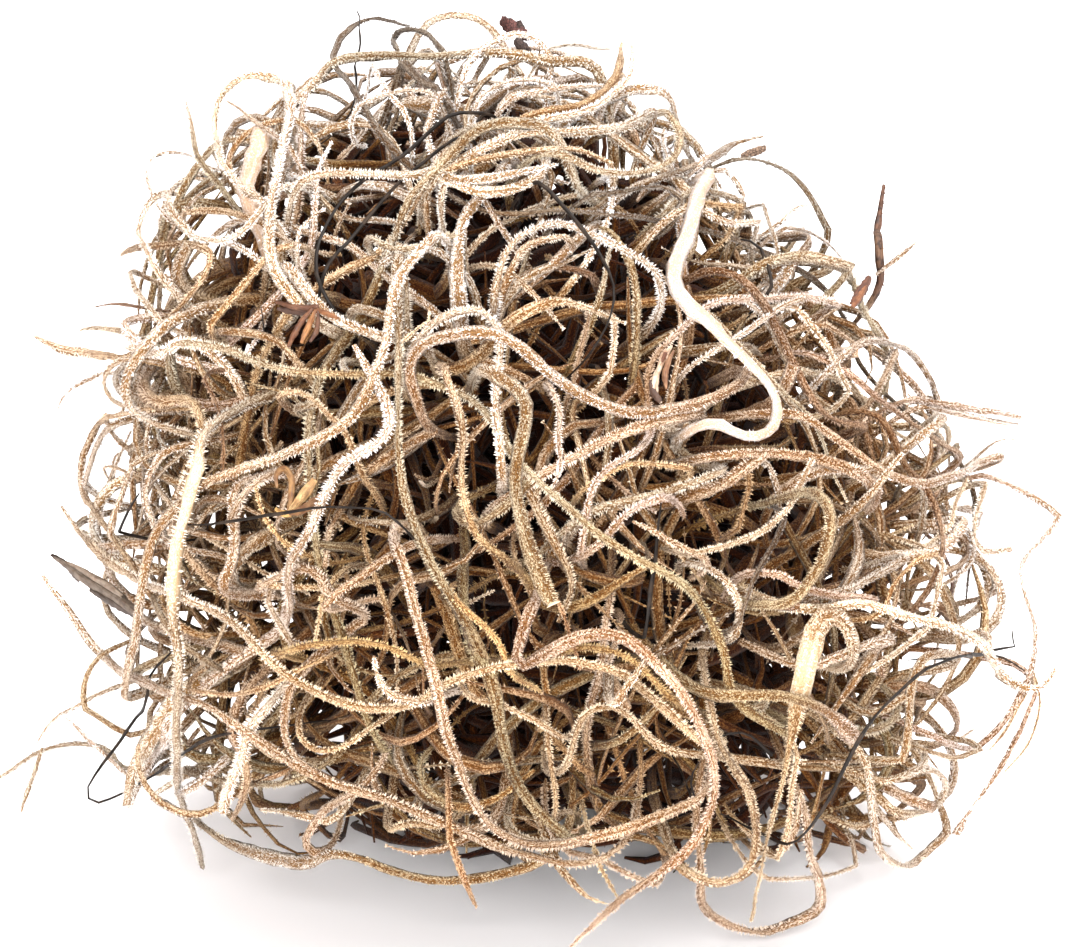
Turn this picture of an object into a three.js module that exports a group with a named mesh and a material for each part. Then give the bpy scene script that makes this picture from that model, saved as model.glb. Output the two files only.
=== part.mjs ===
// A bunch of dried Spanish moss lying on a table: long curly strands, bare dark fibres and a few dry husks,
// tangled into one springy mound. Millimetres, +Z up, origin on the table under the middle of the bunch.
import * as THREE from "three";

// Driving dimensions
const STRAND_RADIUS = 0.53; // a leafy stem with its coat of silver scales
const LEAF_RADIUS = 0.42; // a single thread-like leaf
const TENDRIL_RADIUS = 0.28; // the thin far end of a leaf
const FIBRE_RADIUS = 0.17; // the wiry black core that is left when a stem has lost its coat
const CLEARANCE = 0.36; // air kept between two neighbours
const THREAD_SIDES = 5; // flats around a thread of any kind
const HUSK_SIDES = 7;
const LONGEST_STEP = 6; // between two rings of a thread
const SHARPEST_STEP = THREE.MathUtils.degToRad(36); // the most that a thread turns between two rings
const RELAX_ROUNDS = 220; // passes that push crossing threads apart
const LINK_DIVE = 9; // how deep a strand dips between two stretches that show
const FRONT_CEILING = 0.86; // unseen lengths keep this far inside the front of the mound
const STRAY_COST = 1500; // what a millimetre of unseen length outside the drawing's outline counts for
const TANGLE_SEED = 20;

// Colours of the bare shapes
const STRAND_COLOR = 0xc9b899;
const FIBRE_COLOR = 0x2a201b;
const HUSK_COLOR = 0x8a5a34;

// The mound's sections by height: how far it reaches to the left, to the right, and to the front and back.
const SECTIONS = [
  { height: 0, left: -30, right: 34, depth: 26 },
  { height: 9, left: -33, right: 38.5, depth: 34 },
  { height: 18, left: -38, right: 40.5, depth: 38 },
  { height: 28, left: -40, right: 41, depth: 40 },
  { height: 36, left: -40, right: 39, depth: 40 },
  { height: 42, left: -38.5, right: 34.5, depth: 38 },
  { height: 50, left: -38, right: 30, depth: 35 },
  { height: 56, left: -36.5, right: 26, depth: 31 },
  { height: 61, left: -34, right: 20, depth: 27 },
  { height: 67, left: -27, right: 13, depth: 19 },
  { height: 72, left: -20, right: 8, depth: 13 },
  { height: 75.5, left: -8, right: 2, depth: 5 },
];

// The front drawing: a perspective view from a little above. Its units run right and down, 11.3 to the
// millimetre at the middle of the mound, and the aim point lies at its middle.
const UNITS_PER_MM = 11.3;
const DRAWING_MIDDLE = { across: 540, down: 470 };
const VIEW_ELEVATION = THREE.MathUtils.degToRad(16);
const EYE_DISTANCE = 410;
const AIM = new THREE.Vector3(0, 0, 36);
const TOWARDS_EYE = new THREE.Vector3(0, -Math.cos(VIEW_ELEVATION), Math.sin(VIEW_ELEVATION));
const DRAWING_UP = new THREE.Vector3(0, Math.sin(VIEW_ELEVATION), Math.cos(VIEW_ELEVATION));
const EYE = AIM.clone().addScaledVector(TOWARDS_EYE, EYE_DISTANCE);


// Strands with a stretch that shows on the front, given in drawing units. layer is how many millimetres that
// stretch lies above the mound's skin. head and tail are the lengths that run on unseen from either end.
const FRONT_STRANDS = [
  {
    name: "strand_pale_hook",
    radius: STRAND_RADIUS,
    head: 30,
    tail: 85,
    stretches: [
      { layer: 4, points: [[697, 175], [688, 205], [677, 236], [668, 256], [665, 272], [674, 291],
        [690, 310], [714, 334], [745, 362], [762, 382], [769, 402], [764, 417], [750, 424], [735, 426],
        [716, 416], [700, 408]] },
      { layer: 1.2, points: [[715, 468], [695, 478], [668, 489], [640, 496], [612, 505], [585, 517]] },
    ],
  },
  {
    name: "strand_long_diagonal",
    radius: STRAND_RADIUS,
    head: 30,
    tail: 95,
    stretches: [
      { layer: 2.5, points: [[172, 346], [200, 345], [222, 349], [247, 358], [272, 366], [300, 370],
        [330, 372], [365, 373], [400, 374], [430, 379], [455, 388], [473, 402], [488, 418], [500, 435],
        [510, 455], [520, 470], [540, 487], [560, 505], [580, 520], [600, 535], [625, 553], [650, 568],
        [675, 585], [695, 600], [710, 620], [717, 645], [720, 670], [728, 690], [738, 705], [752, 718],
        [785, 733]] },
    ],
  },
  {
    name: "strand_golden_prong",
    radius: STRAND_RADIUS,
    head: 95,
    tail: 0,
    stretches: [
      { layer: 3.8, points: [[513, 383], [528, 392], [537, 408], [535, 425], [526, 438], [519, 452],
        [521, 468], [523, 500], [528, 530], [535, 555], [545, 582], [556, 606]] },
    ],
  },
  {
    name: "strand_descending_bow",
    radius: STRAND_RADIUS,
    head: 30,
    tail: 85,
    stretches: [
      { layer: 4.6, points: [[440, 238], [422, 252], [409, 275], [402, 300], [397, 330], [393, 358],
        [388, 383], [378, 400], [365, 414], [348, 427], [333, 436], [311, 443], [286, 452], [260, 461],
        [235, 470], [212, 480], [192, 494], [176, 510], [163, 531], [154, 556], [149, 582], [146, 605],
        [140, 632], [135, 660], [130, 688]] },
    ],
  },
  {
    name: "strand_main_upright",
    radius: STRAND_RADIUS,
    head: 40,
    tail: 85,
    stretches: [
      { layer: 3, points: [[389, 255], [389, 280], [392, 310], [394, 340], [395, 365], [394, 395],
        [392, 430], [396, 460], [398, 485], [403, 510], [414, 533], [424, 557], [434, 580], [446, 600],
        [458, 620], [467, 640], [476, 660], [484, 680], [490, 705], [494, 730], [500, 760], [508, 787],
        [520, 805], [540, 820], [553, 830]] },
    ],
  },
  {
    name: "strand_long_fall",
    radius: STRAND_RADIUS,
    head: 85,
    tail: 20,
    stretches: [
      { layer: 4.2, points: [[410, 555], [417, 580], [423, 605], [428, 632], [434, 657], [441, 682],
        [448, 705], [451, 727], [458, 750], [468, 775], [479, 800], [492, 820], [510, 833], [532, 842],
        [560, 845], [592, 841], [620, 833], [650, 823], [680, 809], [705, 797]] },
      { layer: 0.4, points: [[700, 872], [697, 894], [706, 912], [726, 925], [751, 932], [776, 929],
        [801, 919], [817, 909], [823, 900], [820, 885], [808, 862]] },
    ],
  },
  {
    name: "strand_centre_fork",
    radius: STRAND_RADIUS,
    head: 40,
    tail: 95,
    stretches: [
      { layer: 3.6, points: [[403, 368], [410, 352], [425, 340], [445, 334], [468, 332], [490, 333],
        [505, 338], [520, 350], [535, 362], [552, 376], [568, 387], [585, 396], [603, 404], [625, 410],
        [650, 411], [675, 406], [700, 397], [720, 390], [735, 380]] },
    ],
  },
  {
    name: "strand_second_arch",
    radius: STRAND_RADIUS,
    head: 85,
    tail: 0,
    stretches: [
      { layer: 3, points: [[430, 318], [446, 309], [468, 304], [487, 305], [500, 315], [508, 330],
        [510, 350], [507, 380], [508, 410], [511, 440], [516, 465]] },
      { layer: 1.5, points: [[530, 475], [545, 505], [557, 527], [570, 547], [580, 563], [583, 582],
        [578, 602], [568, 622]] },
    ],
  },
  {
    name: "strand_lit_crescent",
    radius: STRAND_RADIUS,
    head: 0,
    tail: 0,
    stretches: [
      { layer: 3.8, points: [[357, 342], [366, 362], [377, 388], [390, 408], [392, 422], [385, 436],
        [370, 447], [350, 452], [343, 475], [331, 500], [318, 521], [305, 542], [293, 562]] },
      { layer: 2, points: [[175, 712], [166, 733], [152, 755], [139, 775], [131, 790], [127, 806]] },
    ],
  },
  {
    name: "strand_centre_cross",
    radius: STRAND_RADIUS,
    head: 40,
    tail: 85,
    stretches: [
      { layer: 1.5, points: [[555, 462], [577, 450], [602, 440], [628, 430], [655, 420], [682, 413],
        [705, 408]] },
      { layer: 2.6, points: [[730, 449], [762, 446], [792, 447], [822, 453], [850, 461], [872, 470]] },
    ],
  },
  {
    name: "strand_rising_pair_upper",
    radius: LEAF_RADIUS,
    head: 40,
    tail: 105,
    stretches: [
      { layer: 1.2, points: [[573, 515], [580, 495], [590, 472], [606, 457], [622, 448]] },
      { layer: 0.5, points: [[705, 303], [732, 298], [762, 295], [790, 294], [812, 298], [832, 304]] },
    ],
  },
  {
    name: "strand_centre_arch",
    radius: STRAND_RADIUS,
    head: 40,
    tail: 95,
    stretches: [
      { layer: 2, points: [[486, 187], [475, 195], [465, 207], [459, 222], [456, 242], [455, 265],
        [456, 288]] },
      { layer: 2.4, points: [[491, 312], [492, 288], [498, 264], [507, 248], [518, 238], [532, 231],
        [548, 226], [565, 226], [580, 231], [598, 240], [620, 250], [640, 262], [655, 275]] },
    ],
  },
  {
    name: "strand_cut_arch",
    radius: STRAND_RADIUS,
    head: 0,
    tail: 0,
    stretches: [
      { layer: 2.4, points: [[622, 321], [612, 315], [597, 308], [577, 303], [556, 303], [535, 308],
        [518, 317]] },
      { layer: 2.6, points: [[445, 385], [455, 402], [459, 430], [456, 462], [455, 490], [458, 515],
        [466, 536], [478, 551], [494, 560]] },
      { layer: -1, points: [[578, 607], [600, 596], [622, 582], [645, 570]] },
    ],
  },
  {
    name: "strand_white_elbow",
    radius: STRAND_RADIUS,
    head: 0,
    tail: 95,
    stretches: [
      { layer: 3.6, points: [[553, 166], [536, 172], [510, 175], [485, 178], [461, 183], [446, 178],
        [430, 169], [418, 175], [395, 170], [370, 168], [345, 170], [320, 172], [300, 178]] },
      { layer: 2.6, points: [[288, 265], [303, 282], [325, 308], [344, 324], [365, 333], [385, 337]] },
    ],
  },
  {
    name: "strand_crown_sweep",
    radius: STRAND_RADIUS,
    head: 0,
    tail: 105,
    stretches: [
      { layer: 1.4, points: [[622, 44], [618, 70], [607, 88], [590, 102], [558, 108], [520, 118]] },
      { layer: 1, points: [[449, 153], [436, 170], [430, 190]] },
    ],
  },
  {
    name: "strand_crown_ring",
    radius: LEAF_RADIUS,
    head: 85,
    tail: 30,
    stretches: [
      { layer: 3, points: [[495, 125], [520, 124], [546, 130], [572, 135], [600, 135], [622, 129],
        [642, 120], [655, 112], [670, 113], [679, 126], [682, 142], [676, 157], [660, 168], [640, 175],
        [620, 179], [600, 175], [578, 165], [558, 158]] },
    ],
  },
  {
    name: "strand_crown_arc",
    radius: STRAND_RADIUS,
    head: 50,
    tail: 85,
    stretches: [
      { layer: 0.4, points: [[305, 105], [317, 88], [330, 73], [345, 64], [362, 59], [390, 57], [420, 57],
        [448, 56], [470, 53], [500, 57], [521, 62], [540, 67], [562, 68], [592, 74]] },
      { layer: 3.6, points: [[556, 150], [546, 136], [530, 129], [510, 127], [485, 131], [465, 140],
        [449, 153], [436, 172]] },
    ],
  },
  {
    name: "tendril_crown_curl",
    radius: TENDRIL_RADIUS,
    head: 0,
    tail: 85,
    stretches: [
      { layer: 0, points: [[410, 22], [398, 18], [378, 17], [359, 20], [346, 30], [336, 45], [333, 60],
        [345, 75], [353, 92], [362, 110], [375, 130], [390, 150], [400, 160]] },
    ],
  },
  {
    name: "strand_shoulder_loop",
    radius: LEAF_RADIUS,
    head: 30,
    tail: 95,
    stretches: [
      { layer: 4, points: [[283, 262], [282, 235], [280, 210], [283, 188], [290, 160], [296, 130],
        [298, 108], [293, 90], [282, 79], [268, 74], [253, 74], [238, 80], [226, 91], [218, 108],
        [215, 130], [216, 150], [221, 172], [235, 190], [255, 204]] },
    ],
  },
  {
    name: "strand_shoulder_swag",
    radius: LEAF_RADIUS,
    head: 30,
    tail: 95,
    stretches: [
      { layer: 3, points: [[155, 258], [149, 245], [144, 226], [150, 208], [163, 193], [170, 207],
        [180, 221], [192, 235], [208, 242], [228, 243], [248, 232], [266, 212], [281, 192]] },
    ],
  },
  {
    name: "strand_left_arch",
    radius: LEAF_RADIUS,
    head: 0,
    tail: 105,
    stretches: [
      { layer: 2.4, points: [[118, 258], [147, 250], [168, 247], [188, 246], [202, 249], [208, 259],
        [205, 273], [196, 287], [184, 301], [170, 316], [155, 333]] },
      { layer: 2.6, points: [[218, 335], [240, 335], [263, 340], [280, 350], [291, 364]] },
      { layer: 2.6, points: [[280, 396], [296, 392], [312, 401], [330, 420], [346, 436]] },
    ],
  },
  {
    name: "strand_left_thick",
    radius: STRAND_RADIUS,
    head: 95,
    tail: 0,
    stretches: [
      { layer: 2.2, points: [[143, 397], [160, 394], [176, 396], [187, 405], [191, 419], [194, 432],
        [189, 450], [179, 475], [171, 500], [165, 522]] },
      { layer: 1, points: [[245, 740], [249, 760], [246, 780], [239, 799], [231, 816]] },
    ],
  },
  {
    name: "strand_pale_stick",
    radius: STRAND_RADIUS,
    head: 20,
    tail: 0,
    stretches: [
      { layer: 4.6, points: [[204, 469], [198, 492], [190, 516], [182, 540], [177, 562], [173, 587],
        [176, 620], [181, 650], [179, 680], [179, 708], [181, 735], [178, 760], [181, 781], [188, 801],
        [194, 821], [201, 842], [206, 864]] },
    ],
  },
  {
    name: "strand_left_twig",
    radius: LEAF_RADIUS,
    head: 0,
    tail: 95,
    stretches: [
      { layer: 0, points: [[38, 334], [50, 344], [67, 348], [87, 352], [107, 357], [120, 358], [140, 356]]
        },
      { layer: 0.8, points: [[148, 404], [126, 408], [108, 412], [95, 421], [85, 436], [79, 456], [78, 476],
        [83, 494], [93, 512], [104, 529], [116, 546], [129, 562], [142, 576], [152, 590]] },
    ],
  },
  {
    name: "strand_pale_sheath",
    radius: STRAND_RADIUS,
    head: 30,
    tail: 0,
    stretches: [
      { layer: 2.6, points: [[230, 497], [231, 520], [232, 546], [228, 570], [221, 592]] },
      { layer: 1, points: [[258, 588], [270, 577], [287, 571], [306, 573], [319, 583], [323, 597]] },
      { layer: 4.4, points: [[286, 688], [283, 714], [283, 738], [291, 755], [305, 768], [317, 774]] },
    ],
  },
  {
    name: "strand_great_sweep",
    radius: STRAND_RADIUS,
    head: 0,
    tail: 30,
    stretches: [
      { layer: 4.2, points: [[60, 505], [75, 525], [91, 545], [111, 563], [131, 578], [151, 590],
        [171, 598], [190, 603], [206, 606], [226, 620], [245, 640], [262, 660], [281, 678], [302, 691],
        [332, 702], [362, 709], [392, 713], [420, 706], [446, 691], [472, 680], [500, 673], [522, 668],
        [548, 665], [576, 667], [601, 673], [625, 683], [646, 698], [667, 716], [688, 735]] },
    ],
  },
  {
    name: "strand_bottom_sweep",
    radius: STRAND_RADIUS,
    head: 0,
    tail: 30,
    stretches: [
      { layer: 3.2, points: [[45, 580], [55, 595], [63, 610], [73, 626], [86, 643], [101, 657], [116, 674],
        [140, 688], [172, 698], [200, 706], [225, 720], [246, 735], [270, 750], [293, 765], [322, 778],
        [352, 786], [382, 796], [412, 809], [442, 821], [472, 834], [502, 845], [530, 852], [556, 855]] },
    ],
  },
  {
    name: "strand_middle_rung",
    radius: STRAND_RADIUS,
    head: 40,
    tail: 85,
    stretches: [
      { layer: 3.6, points: [[290, 660], [312, 648], [340, 642], [365, 642], [388, 648], [408, 656],
        [425, 667]] },
      { layer: 3.8, points: [[515, 665], [545, 650], [575, 645], [605, 645], [632, 656], [655, 675],
        [678, 700]] },
    ],
  },
  {
    name: "strand_table_arc",
    radius: LEAF_RADIUS,
    head: 30,
    tail: 105,
    stretches: [
      { layer: 0, points: [[150, 790], [166, 801], [186, 811], [206, 826], [226, 839], [243, 850],
        [262, 852], [280, 862], [301, 858], [321, 850], [345, 853], [366, 861], [392, 869], [430, 877],
        [462, 877], [490, 873], [516, 866], [543, 857]] },
    ],
  },
  {
    name: "strand_left_outlier",
    radius: LEAF_RADIUS,
    head: 0,
    tail: 105,
    stretches: [
      { layer: 0, points: [[2, 785], [15, 775], [31, 765], [47, 757], [66, 753], [86, 751], [106, 755],
        [128, 777]] },
      { layer: 0.4, points: [[160, 777], [186, 778], [211, 783], [236, 792], [261, 793], [284, 790]] },
    ],
  },
  {
    name: "strand_front_tail",
    radius: STRAND_RADIUS,
    head: 85,
    tail: 0,
    stretches: [
      { layer: 4.6, points: [[526, 603], [519, 628], [512, 650], [516, 662], [530, 655], [555, 641],
        [582, 630], [606, 627], [628, 635], [647, 648], [664, 668], [682, 692], [696, 716], [707, 740],
        [714, 765], [712, 792], [701, 820], [682, 846], [655, 868], [628, 890], [606, 910], [586, 930],
        [570, 946]] },
    ],
  },
  {
    name: "strand_inner_loop",
    radius: STRAND_RADIUS,
    head: 40,
    tail: 105,
    stretches: [
      { layer: 4, points: [[714, 740], [729, 760], [741, 785], [748, 808], [752, 830], [749, 853],
        [740, 871], [724, 880], [704, 880]] },
    ],
  },
  {
    name: "strand_low_cross",
    radius: LEAF_RADIUS,
    head: 40,
    tail: 105,
    stretches: [
      { layer: 1.4, points: [[562, 765], [565, 747], [575, 727], [586, 711], [602, 703], [620, 704],
        [630, 720], [646, 736], [667, 746], [691, 753], [715, 757], [760, 756], [790, 762]] },
      { layer: 0.6, points: [[865, 757], [870, 790], [873, 820], [881, 848], [898, 863], [914, 860],
        [931, 848], [946, 834]] },
    ],
  },
  {
    name: "strand_cut_leaf",
    radius: STRAND_RADIUS,
    head: 0,
    tail: 105,
    stretches: [
      { layer: 4.4, points: [[857, 743], [841, 729], [826, 717], [806, 708], [786, 702], [762, 698],
        [740, 700]] },
    ],
  },
  {
    name: "strand_pale_fork",
    radius: STRAND_RADIUS,
    head: 85,
    tail: 0,
    stretches: [
      { layer: 4, points: [[853, 640], [848, 626], [834, 616], [818, 622], [808, 645], [804, 668],
        [803, 690], [797, 712], [791, 738], [785, 770], [779, 800], [773, 830], [767, 855], [761, 882],
        [757, 902], [753, 920]] },
    ],
  },
  {
    name: "strand_right_shelf",
    radius: STRAND_RADIUS,
    head: 95,
    tail: 0,
    stretches: [
      { layer: 3, points: [[853, 606], [880, 615], [910, 621], [940, 629], [962, 641], [980, 652],
        [990, 665], [998, 680], [1012, 689], [1028, 691], [1042, 685], [1053, 668]] },
    ],
  },
  {
    name: "strand_right_arch",
    radius: LEAF_RADIUS,
    head: 30,
    tail: 95,
    stretches: [
      { layer: 2.4, points: [[962, 655], [940, 652], [921, 661], [911, 678], [906, 702], [904, 730],
        [901, 752]] },
      { layer: 1, points: [[875, 778], [900, 771], [928, 769], [944, 782], [943, 799], [926, 808],
        [900, 815]] },
    ],
  },
  {
    name: "tendril_right_hanger",
    radius: TENDRIL_RADIUS,
    head: 85,
    tail: 0,
    stretches: [
      { layer: 0.3, points: [[1036, 680], [1029, 700], [1021, 722], [1011, 745], [1000, 762], [986, 785],
        [971, 805], [954, 830]] },
    ],
  },
  {
    name: "strand_right_outrigger",
    radius: LEAF_RADIUS,
    head: 0,
    tail: 135,
    stretches: [
      { layer: 0, points: [[762, 138], [737, 145], [720, 152], [700, 162], [680, 168], [660, 176]] },
    ],
  },
  {
    name: "tendril_right_shoulder",
    radius: TENDRIL_RADIUS,
    head: 30,
    tail: 105,
    stretches: [
      { layer: 0.6, points: [[764, 155], [779, 160], [791, 171], [800, 184], [806, 199], [816, 206],
        [823, 217], [828, 230]] },
    ],
  },
  {
    name: "strand_right_brown",
    radius: STRAND_RADIUS,
    head: 50,
    tail: 105,
    stretches: [
      { layer: 1.6, points: [[703, 183], [721, 188], [746, 199]] },
      { layer: 2.6, points: [[766, 262], [786, 257], [806, 256], [827, 260], [847, 267], [860, 280],
        [868, 295], [875, 315], [885, 331], [894, 346]] },
    ],
  },
  {
    name: "leaf_red_brown",
    radius: TENDRIL_RADIUS,
    head: 0,
    tail: 70,
    stretches: [
      { layer: 0, points: [[881, 188], [878, 205], [876, 225], [876, 245], [878, 262], [880, 275]] },
    ],
  },
  {
    name: "strand_right_dark_drop",
    radius: LEAF_RADIUS,
    head: 40,
    tail: 85,
    stretches: [
      { layer: 2, points: [[768, 322], [782, 345], [793, 366], [805, 386], [816, 402], [828, 417],
        [845, 426], [869, 429]] },
      { layer: 1.6, points: [[879, 418], [890, 440], [901, 461], [915, 476], [927, 485], [936, 501],
        [941, 517]] },
    ],
  },
  {
    name: "strand_right_arc",
    radius: LEAF_RADIUS,
    head: 85,
    tail: 0,
    stretches: [
      { layer: 1.2, points: [[838, 362], [855, 349], [875, 343], [896, 348], [913, 361], [926, 379],
        [933, 396], [939, 411], [955, 417], [980, 421], [1002, 426], [1018, 427]] },
    ],
  },
  {
    name: "tendril_right_trailer",
    radius: TENDRIL_RADIUS,
    head: 60,
    tail: 85,
    stretches: [
      { layer: 0.8, points: [[846, 372], [870, 385], [892, 401], [912, 417], [931, 432], [947, 446],
        [963, 456]] },
      { layer: 0.5, points: [[985, 472], [1002, 479], [1021, 489], [1041, 501], [1056, 511], [1060, 519],
        [1052, 530], [1039, 541], [1028, 555], [1022, 572], [1023, 590], [1031, 610], [1036, 628],
        [1031, 655], [1024, 685], [1011, 710], [996, 730], [980, 742], [960, 746], [938, 745]] },
    ],
  },
  {
    name: "strand_right_reach",
    radius: LEAF_RADIUS,
    head: 60,
    tail: 95,
    stretches: [
      { layer: 2, points: [[795, 416], [820, 430], [841, 446], [856, 461], [872, 471], [892, 479],
        [912, 484], [932, 486], [951, 482], [966, 472], [982, 465], [999, 461]] },
    ],
  },
];
// Bare fibres: wiry black cores that wander through the bunch in long, easy curves.
const FRONT_FIBRES = [
  {
    name: "fibre_crown_upper",
    radius: FIBRE_RADIUS,
    head: 6,
    tail: 10,
    stretches: [{ layer: 3, points: [[478, 116], [455, 118], [440, 127], [425, 140], [410, 155], [395, 168],
      [370, 185], [345, 203], [330, 225], [318, 262]] }],
  },
  {
    name: "fibre_crown_lower",
    radius: FIBRE_RADIUS,
    head: 6,
    tail: 10,
    stretches: [{ layer: 3, points: [[458, 135], [440, 143], [425, 155], [410, 170], [395, 185], [380, 202],
      [360, 225], [345, 243], [325, 262]] }],
  },
  {
    name: "fibre_centre",
    radius: FIBRE_RADIUS,
    head: 8,
    tail: 12,
    stretches: [{ layer: 3, points: [[540, 182], [552, 195], [565, 210], [580, 232], [597, 252], [605, 270],
      [611, 290], [613, 305]] }],
  },
  {
    name: "fibre_left_level",
    radius: FIBRE_RADIUS,
    head: 0,
    tail: 12,
    stretches: [{ layer: 5, points: [[180, 522], [220, 520], [262, 516], [302, 512], [342, 509], [380, 510],
      [398, 521]] }],
  },
  {
    name: "fibre_right_bow",
    radius: FIBRE_RADIUS,
    head: 0,
    tail: 14,
    stretches: [{ layer: 5.4, points: [[1026, 670], [1014, 659], [998, 653], [965, 655], [940, 660],
      [914, 676], [894, 696], [874, 716], [859, 738], [850, 760], [840, 777], [832, 796], [820, 811],
      [808, 826], [795, 840]] }],
  },
  {
    name: "fibre_left_zigzag",
    radius: FIBRE_RADIUS,
    head: 6,
    tail: 12,
    stretches: [{ layer: 3, points: [[137, 700], [126, 720], [115, 740], [101, 757], [89, 775], [82, 790],
      [80, 801], [91, 804], [114, 793], [140, 783], [170, 767], [195, 747], [213, 738]] }],
  },
];

// Dry husks: short spindles along a few points, with their radius at the waist.
const HUSKS = [
  { name: "husk_withered_sheath", layer: 0.4, radius: 0.62, points: [[52, 555], [135, 612]] },
  { name: "husk_seed_capsule", layer: 4.4, radius: 0.95, points: [[668, 346], [664, 394]] },
  { name: "husk_dried_flower", layer: 4.4, radius: 1.1, points: [[276, 472], [306, 500]] },
  { name: "husk_bark_chip", layer: 0.6, radius: 0.62, points: [[502, 22], [527, 33]] },
];
// Strands that lie wholly round the back and inside: where each starts on the skin, as a turn about the
// upright axis from the front (degrees) and a height, and its length.
const BACK_STRANDS = [
  { name: "strand_back_low", radius: STRAND_RADIUS, turn: 200, height: 8, length: 360 },
  { name: "strand_back_high", radius: STRAND_RADIUS, turn: 165, height: 45, length: 380 },
  { name: "strand_back_left", radius: STRAND_RADIUS, turn: 245, height: 24, length: 360 },
  { name: "strand_back_right", radius: STRAND_RADIUS, turn: 120, height: 20, length: 380 },
];

const random = THREE.MathUtils.seededRandom;
random(TANGLE_SEED);

function randomDirection() {
  const z = 2 * random() - 1;
  const turn = 2 * Math.PI * random();
  const flat = Math.sqrt(1 - z * z);
  return new THREE.Vector3(flat * Math.cos(turn), flat * Math.sin(turn), z);
}

// How far out of the mound a point is: 0 on its upright middle line, 1 on its skin, more outside.
function outwardness(point) {
  const top = SECTIONS[SECTIONS.length - 1];
  const height = THREE.MathUtils.clamp(point.z, 0, top.height);
  const upper = Math.max(1, SECTIONS.findIndex((section) => section.height >= height));
  const low = SECTIONS[upper - 1];
  const high = SECTIONS[upper];
  const share = (height - low.height) / (high.height - low.height);
  const left = THREE.MathUtils.lerp(low.left, high.left, share);
  const right = THREE.MathUtils.lerp(low.right, high.right, share);
  const depth = THREE.MathUtils.lerp(low.depth, high.depth, share);
  const across = (point.x - (left + right) / 2) / ((right - left) / 2);
  const above = Math.max(0, point.z - top.height) / 6;
  return Math.hypot(across, point.y / depth, above ? 1 + above : 0);
}

// The way out of the mound at a point: the direction in which outwardness grows fastest.
function wayOut(point) {
  const reach = 1.5;
  const slope = new THREE.Vector3();
  for (const axis of ["x", "y", "z"]) {
    const ahead = point.clone();
    const behind = point.clone();
    ahead[axis] += reach;
    behind[axis] -= reach;
    slope[axis] = outwardness(ahead) - outwardness(behind);
  }
  return slope.normalize();
}

// The point of the mound's skin under a point of the front drawing, raised by a layer towards the eye.
// Where the line of sight passes the mound by, it is the place on that line that comes nearest to it.
function onFront([across, down], layer) {
  const sight = TOWARDS_EYE.clone()
    .multiplyScalar(-EYE_DISTANCE)
    .add(new THREE.Vector3((across - DRAWING_MIDDLE.across) / UNITS_PER_MM, 0, 0))
    .addScaledVector(DRAWING_UP, (DRAWING_MIDDLE.down - down) / UNITS_PER_MM)
    .normalize();
  let least = Infinity;
  let place = null;
  for (let far = EYE_DISTANCE - 60; far < EYE_DISTANCE + 60; far += 0.4) {
    const point = EYE.clone().addScaledVector(sight, far);
    if (point.z < STRAND_RADIUS) break;
    const here = outwardness(point);
    if (here < least) {
      least = here;
      place = point;
    }
    if (here < 1) break;
  }
  place.addScaledVector(sight, -layer);
  return place;
}

// A wandering walk of millimetre steps that keeps to its own depth inside the mound.
function wander(start, heading, length, depthWanted) {
  const point = start.clone();
  const direction = heading.clone().normalize();
  const bend = randomDirection().multiplyScalar(0.06);
  const path = [];
  for (let walked = 0; walked < length; walked += 1) {
    bend.multiplyScalar(0.94).addScaledVector(randomDirection(), 0.045);
    const ceiling = point.y < 0 ? Math.min(depthWanted, FRONT_CEILING) : depthWanted;
    const excess = outwardness(point) - ceiling;
    const steer = wayOut(point).multiplyScalar(THREE.MathUtils.clamp(-1.4 * excess, -0.45, 0.1));
    const turn = bend.clone().add(steer);
    turn.addScaledVector(direction, -turn.dot(direction)).clampLength(0, 0.24);
    direction.add(turn).normalize();
    point.add(direction);
    point.z = Math.max(point.z, STRAND_RADIUS);
    path.push(point.clone());
  }
  return path;
}

// The bunch's outline in the front drawing, without its loose tips.
const OUTLINE = [
  [70, 560], [78, 480], [92, 390], [112, 310], [120, 230], [160, 155], [215, 95], [290, 78], [330, 60],
  [420, 38], [500, 28], [600, 45], [648, 60], [690, 130], [760, 145], [825, 215], [860, 300], [905, 360],
  [965, 430], [1008, 500], [1005, 640], [985, 740], [935, 840], [885, 872], [700, 878], [550, 872],
  [400, 852], [290, 858], [235, 835], [120, 800], [62, 745], [78, 650],
];

// Whether a point falls outside the outline in the front drawing.
function strays(point) {
  const away = point.clone().sub(EYE);
  const scale = (UNITS_PER_MM * EYE_DISTANCE) / -away.dot(TOWARDS_EYE);
  const across = DRAWING_MIDDLE.across + scale * away.x;
  const down = DRAWING_MIDDLE.down - scale * away.dot(DRAWING_UP);
  let outside = true;
  OUTLINE.forEach(([x1, y1], i) => {
    const [x2, y2] = OUTLINE[(i + 1) % OUTLINE.length];
    if (y1 > down === y2 > down) return;
    if (across < x1 + ((x2 - x1) * (down - y1)) / (y2 - y1)) outside = !outside;
  });
  return outside;
}

// How crowded the bunch is so far, counted in cubes, so that each new length can go where there is room.
const CROWD_CUBE = 7;
const crowd = new Map();

function cubeOf(point) {
  return [point.x, point.y, point.z].map((v) => Math.round(v / CROWD_CUBE)).join();
}

function settle(path) {
  for (const point of path) {
    const cube = cubeOf(point);
    crowd.set(cube, (crowd.get(cube) ?? 0) + 1);
  }
}

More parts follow.
